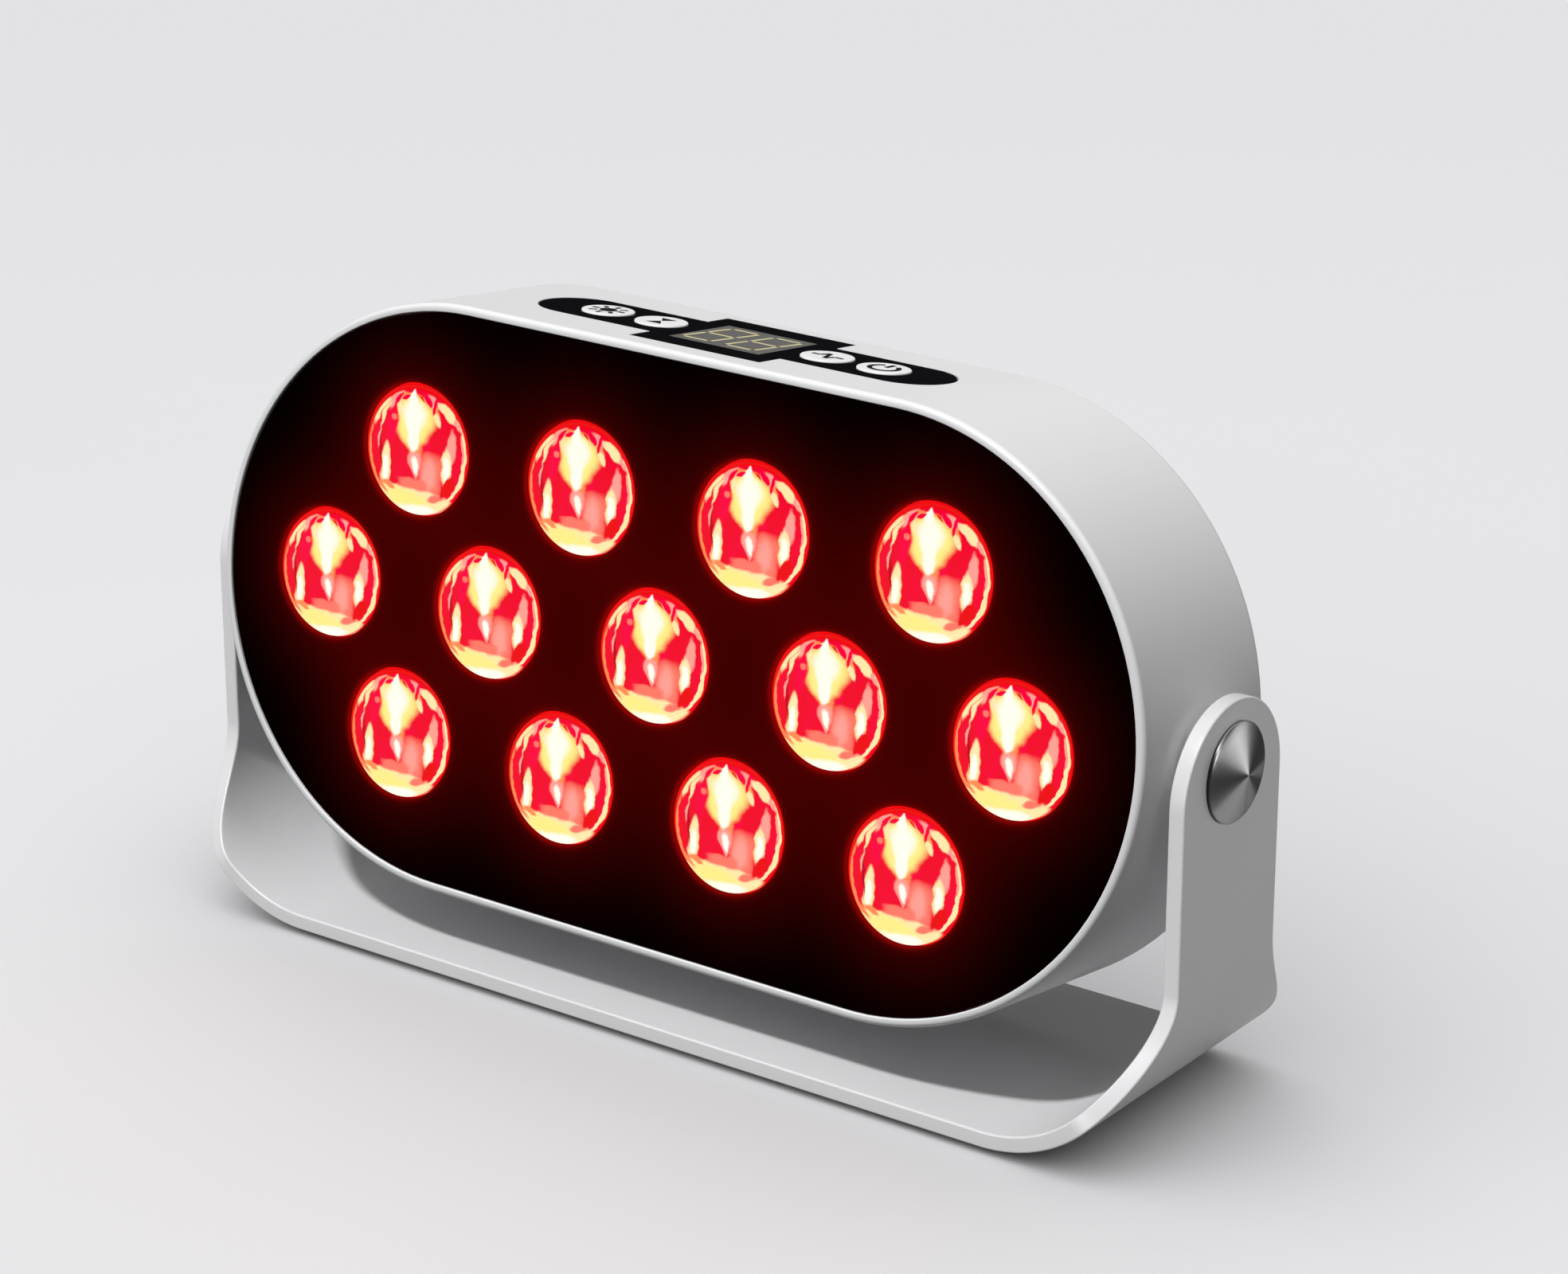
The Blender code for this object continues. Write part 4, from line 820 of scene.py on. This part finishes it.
def sign_mesh(name, strokes, height, scale=1.0):
    """Thin printed strokes on a surface at a height."""
    bm = bmesh.new()
    for stroke in strokes:
        low = [bm.verts.new((x * scale, y * scale, height)) for x, y in stroke]
        high = [bm.verts.new((x * scale, y * scale, height + INK)) for x, y in stroke]
        bm.faces.new(high)
        bm.faces.new(low)
        skin(bm, low, high)
    return finished(bm, name)


# %% Display figures
FIGURE_HEIGHT = 0.0140
FIGURE_WIDTH = 0.0066
FIGURE_STROKE = 0.0007
FIGURE_CENTRES = (-0.0052, 0.0048)
FIGURE_SLANT = 0.10


def figure(centre_x):
    """A seven-segment figure eight, slanted as displays are."""
    half = FIGURE_WIDTH / 2
    length = FIGURE_WIDTH - 2 * FIGURE_STROKE
    upright = FIGURE_HEIGHT / 2 - 1.5 * FIGURE_STROKE
    strokes = [bar((0, y), length, FIGURE_STROKE) for y in (-FIGURE_HEIGHT / 2, 0, FIGURE_HEIGHT / 2)]
    for x in (-half, half):
        strokes += [bar((x, y), upright, FIGURE_STROKE, 90) for y in (-FIGURE_HEIGHT / 4, FIGURE_HEIGHT / 4)]
    return [[(centre_x + x + FIGURE_SLANT * y, y) for x, y in stroke] for stroke in strokes]


figures = [stroke for x in FIGURE_CENTRES for stroke in figure(x)]
add_piece("display_figures", sign_mesh("display_figures", figures, HALF_HEIGHT), SEGMENT)

# %% Button signs
SIGN_SCALE = 1.25
SIGN_STROKE = 0.0007
SUN_RADIUS = 0.0014
RAYS = 8
RAY_PLACE = 0.0024
RAY_LENGTH = 0.0013
TIMER_HALF_WIDTH = 0.0014
TIMER_HALF_HEIGHT = 0.0021
TIMER_NECK = 0.0001
HEARTBEAT = ((-0.0028, 0), (-0.0013, 0), (-0.0006, 0.0018), (0.0006, -0.0018), (0.0013, 0), (0.0028, 0))
POWER_RADIUS = 0.0022
POWER_STROKE = 0.0008
POWER_GAP = 60
POWER_BAR = 0.0024
POWER_BAR_PLACE = 0.0016


def sun_sign():
    """A disc with rays round it."""
    places = enumerate(circle(RAY_PLACE, steps=RAYS))
    return [circle(SUN_RADIUS)] + [bar(place, RAY_LENGTH, SIGN_STROKE, 360 * step / RAYS) for step, place in places]


def timer_sign():
    """An hourglass: two triangles, tip to tip."""
    half = [(-TIMER_HALF_WIDTH, TIMER_HALF_HEIGHT), (TIMER_HALF_WIDTH, TIMER_HALF_HEIGHT), (0, TIMER_NECK)]
    return [half, [(x, -y) for x, y in half]]


def pulse_sign():
    """A heartbeat: a level line with one sharp beat."""
    strokes = []
    for (x, y), (next_x, next_y) in zip(HEARTBEAT, HEARTBEAT[1:]):
        middle = ((x + next_x) / 2, (y + next_y) / 2)
        length = math.hypot(next_x - x, next_y - y)
        strokes.append(bar(middle, length, SIGN_STROKE, math.degrees(math.atan2(next_y - y, next_x - x))))
    return strokes


def power_sign():
    """A broken ring with a bar in its gap."""
    start = 90 + POWER_GAP / 2
    sweep = 360 - POWER_GAP
    outer = arc(POWER_RADIUS + POWER_STROKE / 2, (0, 0), start, sweep, SMALL_STEPS)
    inner = arc(POWER_RADIUS - POWER_STROKE / 2, (0, 0), start + sweep, -sweep, SMALL_STEPS)
    return [outer + inner, bar((0, POWER_BAR_PLACE), POWER_BAR, POWER_STROKE, 90)]


# %% Buttons
BUTTON_PROUD = 0.0003
BUTTON_EDGE = 0.00025
BUTTON_DEPTH = 0.0030

cap_profile = [(0, 0)] + rounded_edge(BUTTON_RADIUS, BUTTON_EDGE) + [(BUTTON_RADIUS, -BUTTON_DEPTH), (0, -BUTTON_DEPTH)]
signs = (sun_sign(), timer_sign(), pulse_sign(), power_sign())
for number, (x, strokes) in enumerate(zip(BUTTON_XS, signs), 1):
    body = f"button_{number}"
    place = on_head(x, 0, HALF_HEIGHT + BUTTON_PROUD)
    add_piece(f"button_cap_{number}", turned(body, cap_profile), BUTTON_WHITE, body, place, (body,))
    add_piece(f"button_sign_{number}", sign_mesh(body, strokes, 0.0, SIGN_SCALE), GLYPH_INK, body, place)

# %% [markdown]
# ## Back of the head
#
# The photograph doesn't show the back. Lamps like this have a plain vented cover: a round grille over a fan, slots
# beside it, recessed screws and a socket for the power plug.

# %% Rear cover
REAR_RECESS = 0.0006
COVER_THICKNESS = 0.0022
COVER_EDGE_RADIUS = 0.0002
FAN_SIZE = 0.0600
FAN_WALL = 0.0015
FAN_HOLE = 0.0250
VENT_WIDTH = 0.0026
VENT_PITCH = 0.0070
VENT_LENGTH = 0.0260
VENT_LIFT = 0.0140
VENT_MARGIN = 0.0080
VENTS_A_SIDE = 4
SLOT_STEPS = 12
SCREW_HEAD_RADIUS = 0.0025
INLET_RADIUS = 0.0040
INLET_PLACE = (-0.0500, -0.0240)
REAR_POST_INSET = 0.0039
REAR_POST_ANGLES = (55.0, 125.0)

cover_back = REAR - REAR_RECESS
cover_front = cover_back - COVER_THICKNESS


def fan_grille():
    """Parallel slots over the fan, each as long as the round duct allows."""
    reach = FAN_SIZE / 2 - 2 * FAN_WALL
    rows = int((reach - VENT_WIDTH) / VENT_PITCH)
    slots = []
    for row in range(-rows, rows + 1):
        z = row * VENT_PITCH
        chord = math.sqrt(reach**2 - (abs(z) + VENT_WIDTH / 2) ** 2)
        slots.append(obround(chord, VENT_WIDTH / 2, (0, z), SLOT_STEPS))
    return slots


def side_vents():
    """Upright slots on both sides of the fan."""
    lying = obround(VENT_LENGTH / 2, VENT_WIDTH / 2, (0, 0), SLOT_STEPS)
    nearest = FAN_SIZE / 2 + VENT_MARGIN
    xs = [side * (nearest + i * VENT_PITCH) for side in (1, -1) for i in range(VENTS_A_SIDE)]
    return [[(x - b, VENT_LIFT + a) for a, b in lying] for x in xs]


def rear_screw_places():
    """Two screws in each end, one at the top and one at the bottom."""
    radius = HALF_HEIGHT - WALL - REAR_POST_INSET
    reach = HALF_LENGTH - HALF_HEIGHT
    places = [(0, radius), (0, -radius)]
    for angle in REAR_POST_ANGLES:
        turn = math.radians(angle)
        side = math.copysign(reach, math.cos(turn))
        places += [(side + radius * math.cos(turn), flip * radius * math.sin(turn)) for flip in (1, -1)]
    return places


rear_screws = rear_screw_places()
fan_screws = [(x * FAN_HOLE, z * FAN_HOLE) for x in (1, -1) for z in (1, -1)]
cover_outlines = [obround(HALF_LENGTH - WALL - GAP, HALF_HEIGHT - WALL - GAP)] + fan_grille() + side_vents()
cover_outlines += [circle(SCREW_HEAD_RADIUS + GAP, place, SMALL_STEPS) for place in rear_screws + fan_screws]
cover_outlines.append(circle(INLET_RADIUS + GAP, INLET_PLACE))
cover_mesh = plate("vented_cover", cover_outlines, cover_front, cover_back, COVER_EDGE_RADIUS)
add_piece("vented_cover", cover_mesh, HOUSING_WHITE, stands_for=("rear_cover",))

# %% Screws
SCREW_HEAD_HEIGHT = 0.0012
SCREW_LENGTH = 0.0060
SCREW_SHANK_RADIUS = 0.0013
CROSS_LENGTH = 0.0030
CROSS_WIDTH = 0.0006
CROSS_DEPTH = 0.0007


def screw_mesh():
    """A pan head with a cross recess, its top at zero."""
    tip = -SCREW_HEAD_HEIGHT - SCREW_LENGTH
    profile = [(0, 0)] + rounded_edge(SCREW_HEAD_RADIUS, SCREW_HEAD_HEIGHT / 2)
    profile += [(SCREW_HEAD_RADIUS, -SCREW_HEAD_HEIGHT), (SCREW_SHANK_RADIUS, -SCREW_HEAD_HEIGHT)]
    profile += [(SCREW_SHANK_RADIUS, tip), (0, tip)]
    half = CROSS_LENGTH / 2
    arm = CROSS_WIDTH / 2
    cross = [(half, -arm), (half, arm), (arm, arm), (arm, half), (-arm, half), (-arm, arm)]
    cross += [(-x, -y) for x, y in cross]
    head = turned("screw", profile, steps=SMALL_STEPS)
    return cut(head, plate("cross", [cross], -CROSS_DEPTH, CROSS_DEPTH, 0.0, FACING_UP))


screw = screw_mesh()
for kind, places in (("rear_screw", rear_screws), ("fan_screw", fan_screws)):
    for number, (x, z) in enumerate(places, 1):
        name = f"{kind}_{number}"
        place = on_head(x, cover_back, z, FACING_BACKWARDS)
        add_piece(f"{name}_head", screw.copy(), SCREW_STEEL, place=place, stands_for=(name,))

# %% Power socket
INLET_BODY_RADIUS = 0.0055
INLET_BODY_LENGTH = 0.0080
INLET_BORE_RADIUS = 0.0029
INLET_BORE_DEPTH = 0.0085
INLET_PIN_RADIUS = 0.0010
INLET_PIN_SETBACK = 0.0010
INLET_EASE = 0.0003


def inlet_profile():
    """A barrel socket from the tip of its pin, down the bore and over the outside."""
    shoulder = -COVER_THICKNESS - GAP
    return [
        (0, -INLET_PIN_SETBACK),
        (INLET_PIN_RADIUS - INLET_EASE, -INLET_PIN_SETBACK),
        (INLET_PIN_RADIUS, -INLET_PIN_SETBACK - INLET_EASE),
        (INLET_PIN_RADIUS, -INLET_BORE_DEPTH),
        (INLET_BORE_RADIUS, -INLET_BORE_DEPTH),
        (INLET_BORE_RADIUS, -INLET_EASE),
        (INLET_BORE_RADIUS + INLET_EASE, 0),
        (INLET_RADIUS - INLET_EASE, 0),
        (INLET_RADIUS, -INLET_EASE),
        (INLET_RADIUS, shoulder),
        (INLET_BODY_RADIUS, shoulder),
        (INLET_BODY_RADIUS, shoulder - INLET_BODY_LENGTH),
        (0, shoulder - INLET_BODY_LENGTH),
    ]


inlet_matrix = on_head(INLET_PLACE[0], cover_back, INLET_PLACE[1], FACING_BACKWARDS)
inlet_mesh = turned("power_socket", inlet_profile())
add_piece("power_socket", inlet_mesh, BLACK_MOULDING, place=inlet_matrix, stands_for=("dc_inlet",))

# %% [markdown]
# ## Pivots
#
# On each side a spun knob clamps the arm against a washer and a short boss of the housing. Its face rises in a very
# low cone, which is why the photograph's highlights meet a little off the middle of its outline.

# %% Pivots
ARM_INNER = 0.1102
ARM_OUTER = 0.1134
BOSS_RADIUS = 0.0080
BOSS_FACE = 0.1079
BOSS_LENGTH = 0.0030
WASHER_RADIUS = 0.0100
WASHER_BORE = 0.0029
KNOB_RADIUS = 0.0094
KNOB_RIM = 0.0007
KNOB_CHAMFER = 0.0003
KNOB_CROWN = 0.0021
STUD_RADIUS = 0.0025
STUD_LENGTH = 0.0140
KNOB_STEPS = 96

knob_seat = ARM_OUTER + GAP


def knob_profile():
    """A low cone with a bright chamfer round its rim, and the stud behind it."""
    flat = KNOB_RADIUS - KNOB_CHAMFER
    cone = [(flat * share, KNOB_RIM + KNOB_CROWN * (1 - share)) for share in SHARES]
    stud = [(STUD_RADIUS, 0), (STUD_RADIUS, -STUD_LENGTH), (0, -STUD_LENGTH)]
    return cone + [(KNOB_RADIUS, KNOB_RIM - KNOB_CHAMFER), (KNOB_RADIUS, 0)] + stud


def washer_profile():
    """A plain flat ring."""
    thickness = ARM_INNER - BOSS_FACE - 2 * GAP
    return [(WASHER_RADIUS, thickness), (WASHER_RADIUS, 0), (WASHER_BORE, 0), (WASHER_BORE, thickness)]


def boss_profile():
    """A short round boss with an eased edge."""
    outside = rounded_edge(BOSS_RADIUS, SMALL_RADIUS) + [(BOSS_RADIUS, -BOSS_LENGTH)]
    return [(WASHER_BORE, 0)] + outside + [(WASHER_BORE, -BOSS_LENGTH)]


knob_faces = []
for side, label, facing in ((1, "right", FACING_RIGHT), (-1, "left", FACING_LEFT)):
    knob = f"knob_{label}"
    knob_place = Matrix.Translation(pivot) @ Matrix.Translation((side * knob_seat, 0, 0)) @ facing
    knob_mesh = turned(knob, knob_profile(), steps=KNOB_STEPS)
    knob_faces.append(add_piece(f"{knob}_face", knob_mesh, SPUN_METAL, knob, knob_place, (knob,)))
    washer = turned("washer", washer_profile(), closed=True)
    washer_place = on_head(side * (BOSS_FACE + GAP), 0, 0, facing)
    add_piece(f"washer_ring_{label}", washer, NYLON, place=washer_place, stands_for=(f"washer_{label}",))
    boss = turned("boss", boss_profile(), closed=True)
    add_piece(f"pivot_boss_{label}", boss, HOUSING_WHITE, place=on_head(side * BOSS_FACE, 0, 0, facing))

# %% [markdown]
# ## Stand
#
# The stand is one strap. It is cut flat, wide over the base and narrow over the arms, and its two ends are then
# bent up through a quarter circle. The width changes inside the bend, which makes the flare beside the table. Here
# too the blank is drawn flat with eased edges, scored across where it will bend, and rolled up.

# %% Strap blank
STRAP_THICKNESS = 0.0032
STRAP_EDGE = 0.0004
STRAP_BOTTOM = 0.0012
BASE_DEPTH = 0.0632
ARM_WIDTH = 0.0332
ARM_TIP_DROP = 0.0031
BEND_RADIUS = 0.0320
FLARE_START = 0.0225
FLARE_RISE = 0.0007
BEND_STEPS = 48

bend_start = ARM_OUTER - BEND_RADIUS
bend_end = bend_start + BEND_RADIUS * math.pi / 2
score_lengths = [bend_start + (bend_end - bend_start) * step / BEND_STEPS for step in range(BEND_STEPS + 1)]
score_lengths.append(bend_end + FLARE_RISE)


def half_width(length):
    """Half the strap's width: wide over the base, drawn in smoothly round the bend."""
    share = (length - bend_start - FLARE_START) / (bend_end + FLARE_RISE - bend_start - FLARE_START)
    share = min(max(share, 0.0), 1.0)
    eased = share * share * (3 - 2 * share)
    return BASE_DEPTH / 2 + (ARM_WIDTH - BASE_DEPTH) / 2 * eased


def strap_blank():
    """The whole flat blank with a pivot hole in each arm."""
    up = bend_end - BEND_RADIUS
    hole = up + pivot.z - STRAP_BOTTOM
    lower = [(length, -half_width(length)) for length in score_lengths]
    tip = arc(ARM_WIDTH / 2, (hole - ARM_TIP_DROP, 0), -90, 180, SMALL_STEPS)
    right = lower + tip + [(x, -y) for x, y in reversed(lower)]
    left = [(-x, -y) for x, y in right]
    holes = [circle(STUD_RADIUS + GAP, (side * hole, 0), SMALL_STEPS) for side in (1, -1)]
    return [right + left] + holes


# %% Bend the strap
def rolled(x, z):
    """Where a point of the blank goes, with z measured up from the blank's underside."""
    length = abs(x)
    turn = (min(max(length, bend_start), bend_end) - bend_start) / BEND_RADIUS
    inner = BEND_RADIUS - z
    out = min(length, bend_start) + inner * math.sin(turn)
    return math.copysign(out, x), BEND_RADIUS - inner * math.cos(turn) + max(length - bend_end, 0)


def strap_mesh():
    """The blank, scored across at each step of the bend and then rolled up."""
    flat = plate("strap", strap_blank(), 0, STRAP_THICKNESS, STRAP_EDGE, FACING_UP)
    bm = bmesh.new()
    bm.from_mesh(flat)
    for length in score_lengths:
        for side in (1, -1):
            everything = bm.verts[:] + bm.edges[:] + bm.faces[:]
            bmesh.ops.bisect_plane(bm, geom=everything, dist=MERGE, plane_co=(side * length, 0, 0), plane_no=(1, 0, 0))
    for vert in bm.verts:
        vert.co.x, vert.co.z = rolled(vert.co.x, vert.co.z)
    return finished(bm, "strap")


strap_place = Matrix.Translation((0, 0, STRAP_BOTTOM))
strap = add_piece("strap_stand", strap_mesh(), STAND_WHITE, "stand", strap_place, ("bracket",))
print("Stand:", len(strap.data.vertices), "points")

# %% [markdown]
# ## Pieces kept from the CAD model
#
# The boards, the display block, the heat sink, the fan, the brass inserts and the pad have the right shape already,
# so they only get their materials.

# %% Kept pieces
KEPT = {
    "base_pad": RUBBER,
    "led_board": BOARD_WHITE,
    "heat_sink": ALUMINIUM,
    "display_module": BLACK_MOULDING,
    "control_board": BOARD_GREEN,
    "driver_board": BOARD_GREEN,
    "fan_frame": BLACK_MOULDING,
    "fan_rotor": BLACK_MOULDING,
    "insert_left": BRASS,
    "insert_right": BRASS,
}
for name, material in KEPT.items():
    for slot in nodes[name].material_slots:
        slot.material = material

# %% [markdown]
# ## Studio
#
# The photograph has two kinds of shadow. The head throws a crisp one on the base plate, while the floor only
# darkens softly beside the strap's bends. One small key can't do both, so light linking shares the work. The key
# lights all but the floor, and a very wide lamp above lights the floor alone. A lamp from the right lifts the strap
# and the knobs, one from the upper right lifts the head, and a low one in front catches the strap's edges. The
# world adds a bright ceiling and a bright wall behind, and is dark elsewhere.

# %% Floor
FLOOR_SIZE = 12.0
FLOOR_SEEN = (0.755, 0.755, 0.770, 1.0)
FLOOR_SEEN_DARKER = (0.725, 0.725, 0.740, 1.0)
# Painted shade: the floor's colour darkens towards the far side, away from the camera, where the light falls off
FLOOR_FAR_PAINTED_SHADE = (0.69, 0.69, 0.705, 1.0)
FAR_SIDE = (-0.59, 0.81, 0.0)
FADE_START = -0.10
FADE_LENGTH = 0.90
FLOOR_FOR_LIGHT = (0.03, 0.03, 0.03, 1.0)
CLOUDS_A_METRE = 7.0


def floor_material():
    """Pale for the camera and in reflections with painted shade far off, and darker for the light that it throws on the
    lamp.
    """
    material = blank_material("floor")
    path = add_node(material, "ShaderNodeLightPath").outputs
    seen = calculate(material, "MAXIMUM", path["Is Camera Ray"], path["Is Glossy Ray"])
    seen = calculate(material, "MAXIMUM", seen, path["Is Transmission Ray"])
    clouds = blend(material, noise(material, CLOUDS_A_METRE, 2.0), FLOOR_SEEN_DARKER, FLOOR_SEEN)
    # Painted shade that darkens the floor towards the far side
    away = calculate_vector(material, "DOT_PRODUCT", own_place(material), FAR_SIDE)
    far = calculate(material, "SUBTRACT", away, FADE_START)
    far = calculate(material, "DIVIDE", far, FADE_LENGTH, clamp=True)
    colour = blend(material, seen, FLOOR_FOR_LIGHT, blend(material, far, clouds, FLOOR_FAR_PAINTED_SHADE))
    feed(surface(material), {"Base Color": colour, "Roughness": 0.9, "Specular IOR Level": 0.0})
    return material


floor_mesh = bpy.data.meshes.new("floor")
half = FLOOR_SIZE / 2
floor_mesh.from_pydata([(-half, -half, 0), (half, -half, 0), (half, half, 0), (-half, half, 0)], [], [(0, 1, 2, 3)])
floor_mesh.materials.append(floor_material())
floor = show("floor", floor_mesh)

# %% Lamps
# Name, where the light comes from, strength, angle in degrees, and the pieces that it lights or leaves out
LAMPS = (
    ("key", (-0.12, -0.55, 1.00), 2.88, 5.0, "EXCLUDE", (floor,)),
    ("arm_light", (0.97, 0.00, 0.12), 0.98, 20.0, "INCLUDE", (strap, *knob_faces)),
    ("head_side", (0.62, -0.22, 0.82), 0.42, 30.0, "EXCLUDE", (floor, strap)),
    ("strap_edge_light", (-0.15, -1.00, 0.05), 1.25, 15.0, "INCLUDE", (strap,)),
    ("floor_light", (-0.20, -0.20, 0.96), 2.80, 125.0, "INCLUDE", (floor,)),
)


def add_lamp(name, coming_from, strength, angle, state, pieces):
    """A distant lamp that lights only the given pieces (INCLUDE), or everything else (EXCLUDE)."""
    data = bpy.data.lights.new(name, "SUN")
    data.energy = strength
    data.angle = math.radians(angle)
    lamp = show(name, data)
    lamp.rotation_euler = Vector(coming_from).to_track_quat("Z", "Y").to_euler()
    lit = bpy.data.collections.new(f"{name}_lights")
    for piece in pieces:
        lit.objects.link(piece)
    lamp.light_linking.receiver_collection = lit
    for entry in lit.collection_objects:
        entry.light_linking.link_state = state


for row in LAMPS:
    add_lamp(*row)

# %% Surroundings
# Direction, where its brightness starts as a cosine, and how bright it is
OVERHEAD = ((-0.25, -0.32, 1.00), 0.45, 0.48)
BEHIND = ((0.15, 1.00, -0.05), 0.60, 0.50)
DARK_SKY = 0.02
BACKDROP = 0.76


def studio_world():
    """Dark surroundings with a bright ceiling and a bright wall behind, and a plain backdrop for the camera."""
    world = bpy.data.worlds.new("studio")
    world.use_nodes = True
    direction = add_node(world, "ShaderNodeTexCoord").outputs["Generated"]
    light = DARK_SKY
    for middle, edge, bright in (OVERHEAD, BEHIND):
        towards = calculate_vector(world, "DOT_PRODUCT", direction, Vector(middle).normalized())
        light = calculate(world, "ADD", rescale(world, towards, (edge, 1), (0, bright), "SMOOTHSTEP"), light)
    seen = add_node(world, "ShaderNodeLightPath").outputs["Is Camera Ray"]
    background = world.node_tree.nodes["Background"]
    feed(background, {"Color": (1.0, 1.0, 1.0, 1.0), "Strength": blend(world, seen, light, BACKDROP, "FLOAT")})
    return world


bpy.context.scene.world = studio_world()
bpy.context.scene.view_settings.view_transform = "Standard"
